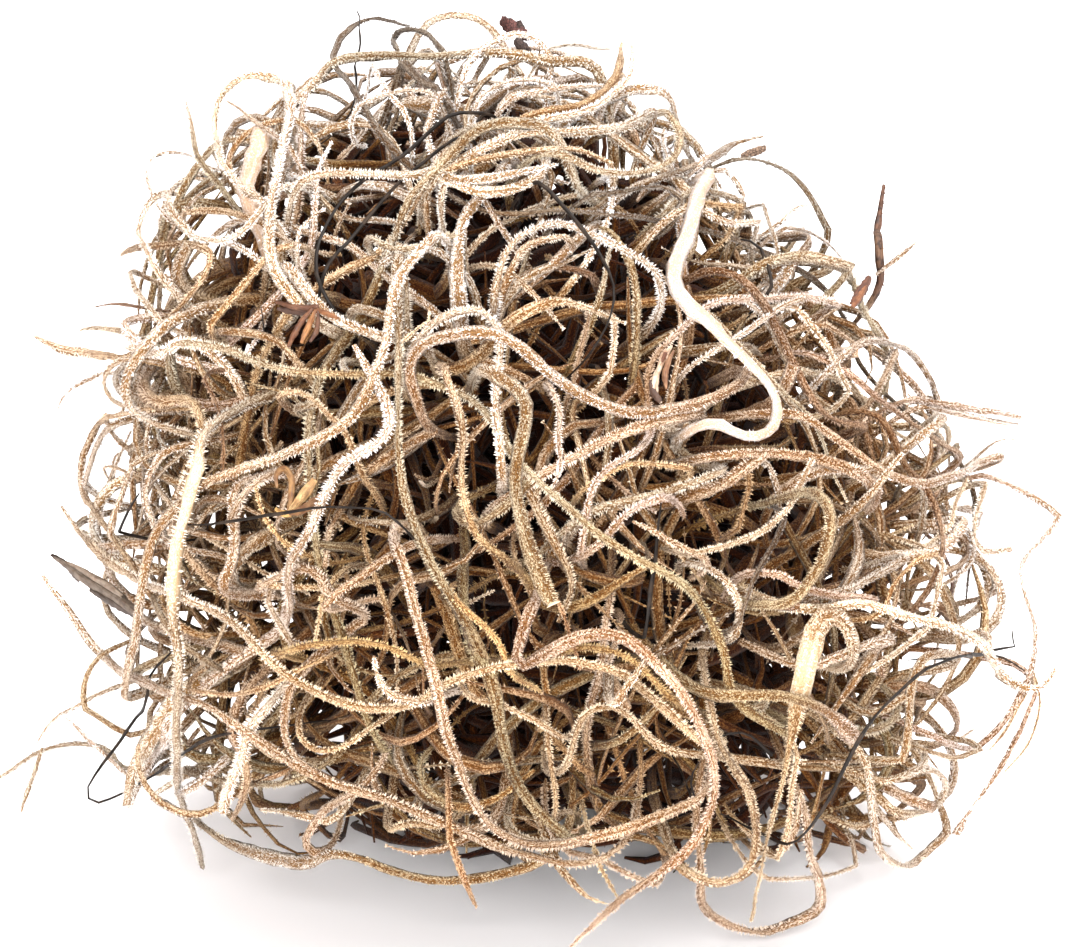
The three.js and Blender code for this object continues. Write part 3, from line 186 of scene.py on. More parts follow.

# Leaves on the front, listed one by one: tone, width in pixels, millimetres above the mound's skin, which
# ends are free tips (s start, e end, capitals for blunt ones), and the route in pixels of the front view.
FRONT_LEAVES = [
    ("pink", 8, 2, "e", (555, 393), (562, 412), (560, 435), (563, 460), (558, 480), (552, 489)),
    ("golden", 9, 1, "", (600, 478), (625, 466), (655, 467), (690, 470)),
    ("pink", 9, 1.5, "", (603, 543), (620, 521), (640, 506), (662, 498)),
    ("pink", 9, 1.5, "s", (635, 524), (655, 533), (677, 546), (702, 556)),
    ("golden", 9, 3, "", (508, 280), (514, 265), (520, 252), (530, 243), (548, 238), (563, 235)),
    ("brown", 9, -3, "", (533, 274), (555, 267), (577, 269), (592, 274)),
    ("olive", 10, 1.6, "", (372, 240), (386, 249), (406, 251), (425, 248), (442, 239), (458, 237)),
    ("tan", 9, -2, "", (590, 315), (585, 335), (579, 358), (573, 382)),
    ("cream", 9, -2, "", (612, 318), (613, 345), (608, 372)),
    ("golden", 3, 3, "s", (430, 308), (432, 318), (420, 328), (405, 340)),
    ("slate", 9, 0.5, "", (397, 50), (394, 37), (400, 29), (415, 26), (428, 31), (437, 42), (444, 50)),
    ("slate", 12, 1, "", (403, 65), (412, 75), (424, 85), (433, 88)),
    ("olive", 9, 4.5, "", (440, 172), (475, 150), (520, 132), (570, 128), (615, 125), (650, 110)),
    ("golden", 8, 4, "", (440, 172), (480, 158), (530, 150), (575, 150), (610, 165)),
    ("white", 11, 3.8, "e", (455, 165), (500, 140), (540, 118), (580, 110), (610, 95), (630, 70), (632, 43)),
    ("white", 10, 3, "", (440, 178), (480, 190), (520, 185), (545, 170), (548, 158)),
    ("slate", 8, 1.5, "", (595, 192), (620, 190), (645, 185), (665, 186), (680, 198)),
    ("grey", 8, 1, "", (468, 66), (482, 52), (500, 42), (520, 37), (540, 42), (552, 56)),
    ("grey", 4, 0, "e", (552, 48), (577, 45), (602, 47), (618, 45)),
    ("grey", 8, 1.2, "", (480, 95), (505, 81), (530, 78), (552, 82)),
    ("cream", 7, 1.4, "", (515, 97), (545, 92), (572, 86), (600, 85)),
    ("grey", 9, 1.4, "", (440, 92), (432, 110), (427, 135), (434, 160)),
    ("cream", 6, 1, "", (360, 107), (375, 98), (392, 93), (412, 90), (430, 92)),
    ("grey", 5, 1, "", (372, 62), (380, 78), (390, 95), (402, 108)),
    ("tan", 7, 3, "s", (228, 101), (241, 108), (256, 119), (271, 131), (286, 143)),
    ("golden", 7, 3, "", (228, 168), (232, 152), (242, 139), (256, 130), (273, 122), (292, 119)),
    ("bone", 19, 3, "", (262, 132), (256, 150), (250, 168), (244, 184)),
    ("grey", 9, 0, "s", (184, 102), (190, 120), (194, 140), (199, 157), (208, 171), (218, 184)),
    ("grey", 4, 0, "", (151, 195), (146, 178), (148, 163), (158, 154), (174, 152), (192, 157)),
    ("cream", 6, 2, "", (184, 213), (205, 211), (226, 211), (247, 216), (262, 222)),
    ("cream", 7, 1.5, "", (128, 272), (135, 290), (146, 304), (158, 318)),
    ("golden", 9, 3, "", (270, 252), (252, 273), (236, 291), (222, 307), (210, 322)),
    ("white", 5, 2.5, "e", (300, 235), (312, 220), (324, 212)),
    ("brown", 4, 0, "s", (95, 306), (118, 305), (140, 308)),
    ("olive", 7, 0.5, "s", (80, 333), (100, 330), (121, 332), (141, 337)),
    ("snow", 12, 2, "", (122, 324), (130, 337), (141, 346), (152, 352)),
    ("snow", 14, 2.6, "", (132, 347), (148, 354), (164, 354), (180, 345)),
    ("cream", 8, 1, "", (142, 358), (122, 362), (109, 371), (106, 384), (111, 395), (122, 403), (136, 407)),
    ("grey", 5, 0, "s", (57, 412), (62, 400), (75, 388), (91, 380), (98, 376)),
    ("grey", 10, -0.6, "", (112, 424), (97, 449), (85, 480)),
    ("cream", 9, 1.6, "", (163, 455), (150, 475), (143, 495), (148, 516), (156, 536)),
    ("cream", 8, 1, "", (131, 465), (122, 487), (113, 511), (108, 532)),
    ("brown", 6, 1.6, "", (205, 380), (214, 400), (220, 422), (223, 445), (223, 472)),
    ("pink", 11, 2.6, "", (408, 545), (385, 558), (360, 575), (338, 592), (322, 607)),
    ("cream", 10, 1.5, "", (268, 603), (278, 622), (290, 645)),
    ("cream", 9, 1, "e", (326, 600), (322, 620), (318, 640)),
    ("cream", 10, 1.8, "", (212, 480), (192, 494), (176, 510), (163, 531)),
    ("golden", 7, 3.4, "", (190, 690), (218, 695), (245, 692), (270, 685), (288, 676)),
    ("olive", 6, 0, "e", (40, 746), (34, 766), (28, 785), (23, 800), (20, 812)),
    ("snow", 20, 2, "E", (176, 702), (160, 728), (146, 752), (136, 775), (128, 800)),
    ("snow", 17, 2, "E", (244, 735), (240, 760), (233, 785), (226, 812)),
    ("olive", 12, 2.4, "", (768, 262), (790, 257), (812, 257), (834, 262), (850, 268)),
    ("cream", 7, 0, "s", (34, 752), (40, 740), (49, 725), (62, 714), (76, 707)),
    ("tan", 7, 0.6, "s", (62, 714), (76, 726), (91, 741), (106, 755), (128, 777)),
    ("cream", 7, 0.6, "", (85, 710), (100, 718), (115, 727), (130, 734)),
    ("cream", 10, 1.4, "", (355, 798), (330, 810), (313, 827), (304, 843), (312, 852)),
    ("white", 9, 1, "s", (258, 808), (280, 810), (302, 816), (325, 822)),
    ("white", 12, 4.4, "s", (372, 658), (377, 676), (387, 691), (402, 699), (420, 702)),
    ("tan", 8, 5, "e", (452, 838), (457, 853), (464, 871), (470, 887), (477, 905)),
    ("cream", 7, 3, "", (300, 735), (311, 749), (330, 753), (352, 745)),
    ("cream", 9, 2, "", (393, 827), (415, 822), (440, 827)),
    ("golden", 8, 4, "", (470, 614), (490, 631), (504, 650), (508, 668)),
    ("white", 11, 5.6, "s", (653, 650), (641, 668), (629, 685), (619, 701)),
    ("golden", 8, -3, "", (543, 680), (546, 702), (543, 726)),
    ("cream", 9, 1.4, "", (475, 702), (500, 706), (522, 716), (543, 727), (562, 738)),
    ("cream", 7, 1, "", (550, 745), (553, 766), (556, 790), (557, 810), (552, 828)),
    ("cream", 8, 1, "e", (560, 862), (575, 880), (590, 893), (606, 900)),
    ("cream", 7, 1, "e", (600, 868), (607, 882), (616, 896)),
    ("cream", 10, 1.4, "", (570, 853), (600, 860), (630, 875), (655, 885)),
    ("cream", 9, 2.4, "", (798, 758), (792, 790), (786, 825), (776, 858)),
    ("cream", 10, 2.4, "", (820, 666), (845, 656), (870, 646), (893, 640)),
    ("grey", 7, 0.6, "", (770, 880), (800, 881), (830, 876), (857, 866)),
    ("golden", 4, 0.4, "e", (1036, 672), (1041, 700), (1035, 728), (1023, 750), (1006, 770)),
    ("golden", 5, 0.4, "e", (1034, 680), (1020, 705), (1006, 732), (990, 750)),
    ("cream", 8, 1, "", (935, 755), (955, 760), (980, 750)),
    ("brown", 5, 3.8, "e", (556, 604), (562, 620), (568, 640), (578, 670)),
    ("grey", 6, 1.4, "", (725, 170), (736, 179), (745, 196)),
    ("golden", 10, 2.2, "", (699, 200), (720, 205), (741, 209)),
    ("cream", 9, 2, "", (697, 208), (715, 220), (736, 226), (757, 224)),
    ("grey", 6, 1, "", (762, 205), (769, 224), (775, 240), (779, 253)),
    ("grey", 7, 0.6, "e", (785, 220), (795, 208), (808, 203)),
    ("grey", 6, 0.6, "e", (785, 227), (805, 229), (821, 236), (835, 247), (844, 257)),
    ("grey", 5, 0, "e", (876, 275), (888, 266), (903, 255), (918, 243)),
    ("cream", 8, 2.4, "", (722, 345), (745, 331), (766, 318), (787, 307), (802, 302)),
    ("cream", 9, 1.2, "", (795, 308), (815, 330), (831, 351), (841, 371), (850, 388)),
    ("tan", 8, 1.6, "e", (825, 325), (841, 335), (858, 347)),
    ("russet", 8, 1, "E", (915, 400), (938, 405), (962, 409), (985, 411), (1005, 413), (1021, 416)),
    ("pink", 6, 1, "e", (925, 408), (950, 413), (975, 418), (992, 422), (1012, 427)),
    ("grey", 4, 0.2, "s", (1018, 441), (1001, 440), (986, 448), (975, 461)),
    ("cream", 8, 2.4, "", (815, 460), (804, 482), (792, 504), (775, 521), (755, 535), (730, 545), (702, 552)),
    ("brown", 8, -1.5, "", (745, 463), (750, 485), (745, 506), (740, 527)),
    ("grey", 8, -1.5, "", (770, 465), (780, 490), (779, 512)),
    ("slate", 6, 2, "", (786, 520), (778, 545), (765, 566), (755, 582), (748, 602), (742, 622)),
    ("cream", 9, 1, "", (965, 480), (958, 501), (954, 522)),
    ("cream", 8, 0.5, "", (986, 485), (978, 506), (975, 528), (981, 546), (996, 551), (1011, 549)),
    ("white", 17, 1, "", (965, 522), (955, 535), (942, 550)),
    ("golden", 6, 2, "", (937, 556), (917, 561), (902, 574), (891, 591), (885, 611)),
    ("cream", 9, 1.4, "", (941, 562), (936, 590), (931, 622)),
    ("pink", 10, 2.2, "", (780, 574), (801, 585), (826, 592), (851, 597), (876, 601)),
    ("grey", 10, 1.4, "", (850, 591), (870, 581), (890, 571), (906, 558)),
    ("white", 9, 1, "", (718, 574), (733, 588), (740, 609), (735, 632)),
]


def centre_line(node):
    """The middle line of a CAD thread, ring by ring from end to end, and its radius."""
    bm = bmesh.new()
    bm.from_mesh(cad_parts[node].data)
    bmesh.ops.remove_doubles(bm, verts=bm.verts, dist=1e-7)
    bmesh.ops.dissolve_limit(bm, angle_limit=0.01, verts=bm.verts, edges=bm.edges)
    sides = [(face, [edge.calc_length() for edge in face.edges]) for face in bm.faces if len(face.verts) == 5]
    end = next(face for face, lengths in sides if max(lengths) < 1.05 * min(lengths))
    rings = [list(end.verts)]
    reached = set(end.verts)
    while len(reached) < len(bm.verts):
        beside = (edge.other_vert(v) for v in rings[-1] for edge in v.link_edges)
        rings.append([v for v in dict.fromkeys(beside) if v not in reached])
        reached.update(rings[-1])
    middles = [sum((v.co for v in ring), Vector()) / len(ring) for ring in rings]
    breadths = [sum((v.co - middle).length for v in ring) / len(ring) for ring, middle in zip(rings, middles)]
    radius = max(breadths)
    bm.free()
    return middles, radius


def smoothed(points, step):
    """A flowing line through the points, with a new point every step."""
    padded = [2 * points[0] - points[1]] + list(points) + [2 * points[-1] - points[-2]]
    fine = []
    for a, b, c, d in zip(padded, padded[1:], padded[2:], padded[3:]):
        knots = [0.0]
        for start, end in ((a, b), (b, c), (c, d)):
            knots.append(knots[-1] + max((end - start).length, 1e-7) ** 0.5)
        for k in range(12):
            t = knots[1] + (knots[2] - knots[1]) * k / 12
            ab = a.lerp(b, t / knots[1])
            bc = b.lerp(c, (t - knots[1]) / (knots[2] - knots[1]))
            cd = c.lerp(d, (t - knots[2]) / (knots[3] - knots[2]))
            abc = ab.lerp(bc, t / knots[2])
            bcd = bc.lerp(cd, (t - knots[1]) / (knots[3] - knots[1]))
            fine.append(abc.lerp(bcd, (t - knots[1]) / (knots[2] - knots[1])))
    fine.append(points[-1].copy())
    line = [fine[0]]
    for point in fine[1:]:
        if (point - line[-1]).length >= step:
            line.append(point)
    if (fine[-1] - line[-1]).length > 0.3 * step:
        line.append(fine[-1])
    return line


def outwardness(point):
    """0 on the mound's upright middle line, 1 on its skin, more outside."""
    height = min(max(point.z, 0), SECTIONS[-1][0])
    low, high = next(pair for pair in zip(SECTIONS, SECTIONS[1:]) if height <= pair[1][0])
    share = (height - low[0]) / (high[0] - low[0])
    left, right, depth = (low[i] + share * (high[i] - low[i]) for i in (1, 2, 3))
    across = (point.x - VIEW_AIM.x - (left + right) / 2) / ((right - left) / 2)
    above = max(0, point.z - SECTIONS[-1][0]) / 0.006
    return math.hypot(across, (point.y - VIEW_AIM.y) / depth, 1 + above if above else 0)


def way_out(point):
    """The direction in which the mound's skin is reached soonest."""
    slope = Vector()
    for axis in range(3):
        ahead = point.copy()
        behind = point.copy()
        ahead[axis] += 0.0015
        behind[axis] -= 0.0015
        slope[axis] = outwardness(ahead) - outwardness(behind)
    return slope.normalized()


def on_front(pixel, layer):
    """The place on the mound's skin behind a pixel of the front view, raised towards the eye by a layer."""
    sideways = Vector((pixel[0] - AIM_PIXEL[0], 0, 0)) / PIXELS_PER_METRE
    upwards = view_up * (AIM_PIXEL[1] - pixel[1]) / PIXELS_PER_METRE
    sight = (sideways + upwards - towards_eye * VIEW_DISTANCE).normalized()
    places = [eye + sight * (VIEW_DISTANCE + 0.0005 * k) for k in range(-130, 130)]
    places = [place for place in places if place.z > TABLE_CLEARANCE]
    inside = [place for place in places if outwardness(place) < 1]
    nearest = inside[0] if inside else min(places, key=outwardness)
    return nearest - sight * layer * 0.001


STEEPEST = 1.5  # how fast a route may go back, for each step across the view


def routed(route, layer):
    """The places behind a route's pixels, none of them set back much further than its neighbour."""
    places = [on_front(pixel, layer) for pixel in route]
    nearest = min(range(len(places)), key=lambda index: (places[index] - eye).length)
    for side, order in ((-1, range(nearest + 1, len(places))), (1, range(nearest - 1, -1, -1))):
        for index in order:
            apart = math.dist(route[index], route[index + side]) / PIXELS_PER_METRE
            furthest = (places[index + side] - eye).length + STEEPEST * apart
            sight = places[index] - eye
            places[index] = eye + sight.normalized() * min(sight.length, furthest)
    return places


def on_view(point):
    """The pixel of the front view at which a point shows."""
    ahead = (eye - point).dot(towards_eye)
    scale = PIXELS_PER_METRE * VIEW_DISTANCE / ahead
    return AIM_PIXEL[0] + (point.x - eye.x) * scale, AIM_PIXEL[1] - (point - eye).dot(view_up) * scale


def cube_of(point):
    return tuple(round(value / 0.0016) for value in point)


def settle(line):
    """Marks the space a thread takes up, so that later ones can keep clear of it."""
    for point in line:
        taken[cube_of(point)] = taken.get(cube_of(point), 0) + 1


def any_way():
    """An arrow of chance length and direction."""
    return Vector((chance.gauss(0, 1), chance.gauss(0, 1), chance.gauss(0, 1)))


def wandering(start, heading, length, depth):
    """A free curly line that keeps to its own depth inside the mound."""
    point = start.copy()
    direction = heading.normalized()
    bend = any_way().normalized() * 0.09
    curl = chance.uniform(0.7, 1.9)
    line = [point.copy()]
    for _ in range(int(length / CURL_STEP)):
        bend = bend * 0.97 + any_way() * 0.02 * curl
        level = min(depth, 0.9) if point.y < FRONT_REACH else depth
        steer = way_out(point) * min(0.08, max(-0.4, -1.6 * (outwardness(point) - level)))
        turn = bend * curl + steer
        turn.z += 22 * (max(0, GROUND - point.z) - max(0, point.z - ROOF))
        turn -= direction * turn.dot(direction)
        if turn.length > SHARPEST_TURN:
            turn *= SHARPEST_TURN / turn.length
        direction = (direction + turn).normalized()
        point = point + direction * CURL_STEP
        point.z = max(point.z, TABLE_CLEARANCE)
        line.append(point.copy())
    return line


def clearest(start, heading, length, tries=7):
    """Of several free curly lines, the one that meets the fewest others."""
    best, least = None, math.inf
    for _ in range(tries):
        astray = heading.normalized() + 0.35 * any_way().normalized()
        line = wandering(start, astray, length, 0.35 + 0.60 * math.sqrt(chance.random()))
        met = sum(taken.get(cube_of(point), 0) for point in line[3:])
        met += 3 * (len(line) - len(kept_in(line, LEAF_BOUND)))
        if met < least:
            best, least = line, met
    return best


def in_outline(point):
    """Whether a point shows inside the bunch's outline in the front view."""
    x, y = on_view(point)
    crossed = 0
    for (x1, y1), (x2, y2) in zip(OUTLINE, OUTLINE[1:] + OUTLINE[:1]):
        if (y1 > y) != (y2 > y) and x < x1 + (x2 - x1) * (y - y1) / (y2 - y1):
            crossed += 1
    return crossed % 2 == 1


def kept_in(line, limit):
    """The line up to where it leaves the mound."""
    for index, point in enumerate(line):
        if outwardness(point) > limit or not in_outline(point):
            return line[:index]
    return line


def openness(point):
    """How open to the light a place is: 1 on the skin, and near 1 just under the crown."""
    return max(outwardness(point), outwardness(point + Vector((0, 0, 0.007))) - 0.25)


def tinted(tone):
    """A tone's colour with a little of its own variation."""
    color = Vector(TONES[tone][0]) * Vector(WARMTH)
    color *= chance.uniform(0.85, 1.15)
    color.z *= chance.uniform(0.9, 1.08)
    return color


def swollen(radius, point, swellings):
    """A thread's radius where it swells into a sheath."""
    for pixel, width, reach in swellings:
        away = math.dist(pixel, on_view(point)) / PIXELS_PER_METRE / reach
        radius += (width / 2 / PIXELS_PER_METRE - radius) * math.exp(-away ** 4)
    return radius


def varied(along, phase, kind):
    """How a feature of a thread varies along it, between -1 and 1."""
    return noise.noise(Vector((along, phase, kind)))


def thread(owner, line, widths, tone, hairs=1.0, swellings=(), patches=()):
    """Adds one thread to the piece called owner. widths are (share of length, radius) stations."""
    own_color = tinted(tone)
    own_fuzz = TONES[tone][1] * hairs
    lengths = [0.0]
    for a, b in zip(line, line[1:]):
        lengths.append(lengths[-1] + (b - a).length)
    phase = chance.uniform(0, 100)
    points = []
    for index, (point, run) in enumerate(zip(line, lengths)):
        share = run / lengths[-1]
        low, high = next(pair for pair in zip(widths, widths[1:]) if share <= pair[1][0] + 1e-9)
        radius = low[1] + (high[1] - low[1]) * (share - low[0]) / (high[0] - low[0])
        radius = swollen(radius, point, swellings)
        radius *= 1 + 0.12 * varied(run * 260, phase, 0) + 0.3 * varied(run * 55, phase, 3)
        for reach, often in CRINKLES:
            point = point + reach * noise.noise_vector(Vector((run * often, phase, often)))
        point.z = max(point.z, 1.2 * radius)
        stain = 1.2 * max(0, varied(run * 75, phase, 5) - 0.12)
        color = own_color.lerp(Vector(STAIN), min(0.6, stain))
        color *= 1 + 0.45 * varied(run * 160, phase, 7)
        fuzz = own_fuzz
        bald = float(tone in SMOOTH_TONES)
        for pixel, reach, other in patches:
            share = math.exp(-(math.dist(pixel, on_view(point)) / PIXELS_PER_METRE / reach) ** 4)
            color = color.lerp(Vector(TONES[other][0]), share)
            fuzz += (TONES[other][1] - fuzz) * share
            bald += ((other in SMOOTH_TONES) - bald) * share
        out = openness(point)
        # Painted light: outer threads high up and out to the sides are whitened where the light falls on
        # them.
        high = (point.z - 0.035) / 0.030
        aside = 0.8 * (abs(point.x - VIEW_AIM.x) - 0.018) / 0.020
        painted_light_share = PAINTED_LIGHT_BY_TONE.get(tone, 1) * min(1, max(0, (out - 0.75) / 0.3)) * min(1, max(0, high, aside))
        painted_light_share *= 0.56 + 0.8 * varied(run * 50, phase, 11)
        color = color.lerp(Vector(PAINTED_LIGHT), max(0, painted_light_share) * (1 - bald))
        if out < 0.7 and index % 2 and index < len(line) - 1:
            continue
        # Painted shade: the deeper a place lies from the light, the darker and browner the thread's colour.
        depth = min(1, max(0, (out - 0.62) / 0.3))
        shade = DEEPEST_SHADE + (1 - DEEPEST_SHADE) * depth
        shaded = Vector([part * shade ** power for part, power in zip(color, SHADE_POWERS)])
        coat = fuzz * (INNER_COAT + (OUTER_COAT - INNER_COAT) * depth ** 1.6)
        if point.y > FRONT_REACH:
            coat *= BACK_COAT
        twist = 2.2 * varied(run * 60, phase, 9)
        points.append((point, radius, shaded, coat, phase + run * 1000, twist, bald))
    threads.setdefault(owner, []).append(points)
    settle(line)


chance = random.Random(SCENE_SEED)
noise.seed_set(SCENE_SEED)
taken = {}
threads = {}
stem_lines = {}
for name in STRAND_TONES:
    middles, radius = centre_line(name)
    stem_lines[name] = (smoothed(middles, LINE_STEP), radius)
    settle(stem_lines[name][0])
for name, (line, radius) in stem_lines.items():
    radius *= CORE_SHARE * STOUT.get(name, 1)
    ends = min(0.4, 0.006 / (len(line) * LINE_STEP))
    stations = [(0, 0.35 * radius), (ends, radius), (1 - ends, radius), (1, 0.35 * radius)]
    thread(name, line, stations, STRAND_TONES[name], 1.0, SWELLINGS.get(name, ()), PATCHES.get(name, ()))

# The leaves on the front each belong to the strand that they start from.
stem_points = [(point, name) for name, (line, radius) in stem_lines.items() for point in line[::3]]
for tone, width, layer, tips, *route in FRONT_LEAVES:
    line = smoothed(routed(route, layer), LINE_STEP)
    if "s" not in tips.lower():
        inwards = line[0] - line[1] - 0.0006 * way_out(line[0])
        line = kept_in(wandering(line[0], inwards, ROOT_LENGTH, 0.7)[1:], 2)[::-1] + line
    if "e" not in tips.lower():
        inwards = line[-1] - line[-2] - 0.0006 * way_out(line[-1])
        line = line + kept_in(wandering(line[-1], inwards, ROOT_LENGTH, 0.7)[1:], 2)
    radius = width / 2 / PIXELS_PER_METRE * CORE_SHARE
    start = 0.3 if "s" in tips else 0.8
    end = 0.3 if "e" in tips else 0.8
    stations = [(0, start * radius), (0.3, radius), (0.7, radius), (1, end * radius)]
    root = line[-1] if "s" in tips.lower() else line[0]
    owner = min(stem_points, key=lambda pair: (pair[0] - root).length_squared)[1]
    thread(owner, line, stations, tone)

# The other leaves part from their strand a few at a time and curl back into the bunch.
for name, (line, radius) in stem_lines.items():
    at = int(chance.uniform(4, 16))
    while at < len(line) - 4:
        along = (line[at + 1] - line[at - 1]).normalized()
        aside = any_way().cross(along).normalized()
        heading = along * chance.choice((1, 1, 1, -1)) + 0.55 * aside
        length = chance.uniform(*LEAF_LENGTHS)
        leaf = kept_in(smoothed(clearest(line[at], heading, length)[::3], LINE_STEP), LEAF_BOUND)
        at += max(3, int(chance.uniform(0.5, 1.5) * LEAF_SPACING / LINE_STEP))
        if len(leaf) < 7:
            continue
        radius = chance.uniform(*LEAF_RADII)
        stations = [(0, 1.15 * radius), (0.3, radius), (0.75, 0.8 * radius), (1, 0.25 * radius)]
        own_tone = STRAND_TONES[name]
        tone = chance.choice((own_tone, own_tone, "cream", "cream", "grey", "olive", "tan", "pink"))
        thread(name, leaf, stations, tone)


def put(tree, kind, inputs=(), **settings):
    """Adds a node to a tree with its settings, inputs and links."""
    node = tree.nodes.new(kind)
    for key, value in settings.items():
        setattr(node, key, value)
    for key, value in dict(inputs).items():
        if isinstance(value, bpy.types.NodeSocket):
            tree.links.new(value, node.inputs[key])
        else:
            node.inputs[key].default_value = value
    return node


def worked(tree, way, *values, kind="ShaderNodeMath"):
    """The result of a sum of one to three values."""
    return put(tree, kind, dict(enumerate(values)), operation=way).outputs[0]


# Sweeps a furrowed section along each thread, and stands the loose scale edges on it as flat closed needles
# that pass through the thread, so that both of a needle's ends stick out.
FLATTENED = (0.84, 1.2, 1.0)  # how a thread is flatter one way than the other
LUMP_FINENESS = 900.0
NEEDLE_HEIGHTS = (0.0, 0.00017)  # over the thread's skin, to each side
NEEDLE_BREADTHS = (0.000022, 0.000045)
NEEDLE_FOOTS = (0.00010, 0.00034)  # length of the foot along the thread
sweep = bpy.data.node_groups.new("scaly thread", "GeometryNodeTree")
for name, kind in (("Geometry", "Geometry"), ("Sides", "Int"), ("Groove", "Float"), ("Seed", "Int")):
    sweep.interface.new_socket(name, in_out="INPUT", socket_type="NodeSocket" + kind)
sweep.interface.new_socket("Geometry", in_out="OUTPUT", socket_type="NodeSocketGeometry")
given = put(sweep, "NodeGroupInput").outputs


def step(kind, output, inputs=(), **settings):
    """One step of the sweep, and what comes out of it."""
    return put(sweep, "GeometryNode" + kind, inputs, **settings).outputs[output]


def own(name):
    """The value that a thread carries at each of its points."""
    return step("InputNamedAttribute", "Attribute", {"Name": name}, data_type="FLOAT")


def noted(geometry, name, value, kind="FLOAT"):
    """Keeps a value with each point, for the material or a later step."""
    inputs = {"Geometry": geometry, "Name": name, "Value": value}
    return step("StoreNamedAttribute", "Geometry", inputs, data_type=kind, domain="POINT")


def moved(geometry, **inputs):
    return step("SetPosition", "Geometry", {"Geometry": geometry, **inputs})


def stretched(vector, by):
    return put(sweep, "ShaderNodeVectorMath", {0: vector, "Scale": by}, operation="SCALE").outputs[0]


def arrow(**parts):
    return put(sweep, "ShaderNodeCombineXYZ", parts).outputs[0]


def dice(low, high, seed):
    """A random number for each point between low and high."""
    seed = worked(sweep, "ADD", given["Seed"], seed)
    node = put(sweep, "FunctionNodeRandomValue", {"Min": low, "Max": high, "Seed": seed}, data_type="FLOAT")
    return next(socket for socket in node.outputs if socket.enabled)


curve = step("MeshToCurve", "Curve", {"Mesh": given["Geometry"]})
curve = step("SetCurveTilt", "Curve", {"Curve": curve, "Tilt": own("twist")})
place = step("InputPosition", "Position")
ring = step("CurvePrimitiveCircle", "Curve", {"Resolution": given["Sides"], "Radius": 1.0})
ring = noted(ring, "around", step("SplineParameter", "Factor"))
wave = worked(sweep, "COSINE", worked(sweep, "MULTIPLY", own("around"), 4 * math.pi))
wave = worked(sweep, "MULTIPLY", worked(sweep, "MAXIMUM", wave, 0.0), given["Groove"])
furrowed = stretched(place, worked(sweep, "SUBTRACT", 1.0, wave))
furrowed = worked(sweep, "MULTIPLY", furrowed, FLATTENED, kind="ShaderNodeVectorMath")
ring = moved(ring, Position=furrowed)
tube = step("CurveToMesh", "Mesh", {
    "Curve": curve, "Profile Curve": ring, "Scale": own("thick"), "Fill Caps": True})
tube = step("SetShadeSmooth", "Geometry", {"Geometry": tube})
angle = worked(sweep, "MULTIPLY", own("around"), 2 * math.pi)
skin = arrow(X=worked(sweep, "COSINE", angle), Y=worked(sweep, "SINE", angle))
length = arrow(Z=worked(sweep, "MULTIPLY", own("run"), 0.001))
skin = worked(sweep, "ADD", stretched(skin, own("thick")), length, kind="ShaderNodeVectorMath")
tube = noted(tube, "skin", skin, "FLOAT_VECTOR")
lumps = put(sweep, "ShaderNodeTexNoise", {"Vector": place, "Scale": LUMP_FINENESS, "Detail": 1.0}).outputs[0]
lumps = worked(sweep, "MULTIPLY", worked(sweep, "SUBTRACT", lumps, 0.5), own("thick"))
tube = moved(tube, Offset=stretched(step("InputNormal", "Normal"), lumps))

stands = put(sweep, "GeometryNodeCurveToPoints", {
    "Curve": curve, "Length": NEEDLE_SPACING}, mode="LENGTH").outputs
left_out = put(sweep, "FunctionNodeCompare", {
    "A": dice(0.0, 1.0, 1), "B": own("hairs")}, operation="GREATER_THAN")
points = step("DeleteGeometry", "Geometry", {"Geometry": stands["Points"], "Selection": left_out.outputs[0]})
needle = step("MeshCone", "Mesh", {
    "Vertices": 3, "Side Segments": 1, "Fill Segments": 1, "Radius Top": 0.0, "Radius Bottom": 1.0,
    "Depth": 1.0}, fill_type="NGON")
corners = put(sweep, "GeometryNodeIndexSwitch", {"Index": step("InputIndex", "Index")}, data_type="VECTOR")
for _ in range(2):
    corners.index_switch_items.new()
for corner, value in enumerate(((1, 0, 1), (-1, 0, 1), (0, -1, 0), (0, 1, 0))):
    corners.inputs[corner + 1].default_value = value
needle = moved(needle, Position=corners.outputs[0])
tip = put(sweep, "ShaderNodeSeparateXYZ", {0: place}).outputs["Z"]
needle = noted(needle, "fuzz", worked(sweep, "MULTIPLY_ADD", tip, 0.5, 0.5))
swing = put(sweep, "FunctionNodeEulerToRotation", {"Euler": arrow(Z=dice(0.0, 2 * math.pi, 2))}).outputs[0]
stance = put(sweep, "FunctionNodeRotateRotation", {
    "Rotation": stands["Rotation"], "Rotate By": swing}, rotation_space="LOCAL").outputs[0]
reach = worked(sweep, "ADD", own("thick"), dice(*NEEDLE_HEIGHTS, 3))
size = arrow(X=reach, Y=dice(*NEEDLE_BREADTHS, 4), Z=dice(*NEEDLE_FOOTS, 5))
needles = step("InstanceOnPoints", "Instances", {
    "Points": points, "Instance": needle, "Rotation": stance, "Scale": size})
both = put(sweep, "GeometryNodeJoinGeometry")
sweep.links.new(step("RealizeInstances", "Geometry", {"Geometry": needles}), both.inputs[0])
sweep.links.new(tube, both.inputs[0])
sweep.links.new(both.outputs[0], put(sweep, "NodeGroupOutput").inputs[0])


def shown(name, data):
    """A new object in the scene."""
    piece = bpy.data.objects.new(name, data)
    bpy.context.scene.collection.objects.link(piece)
    return piece


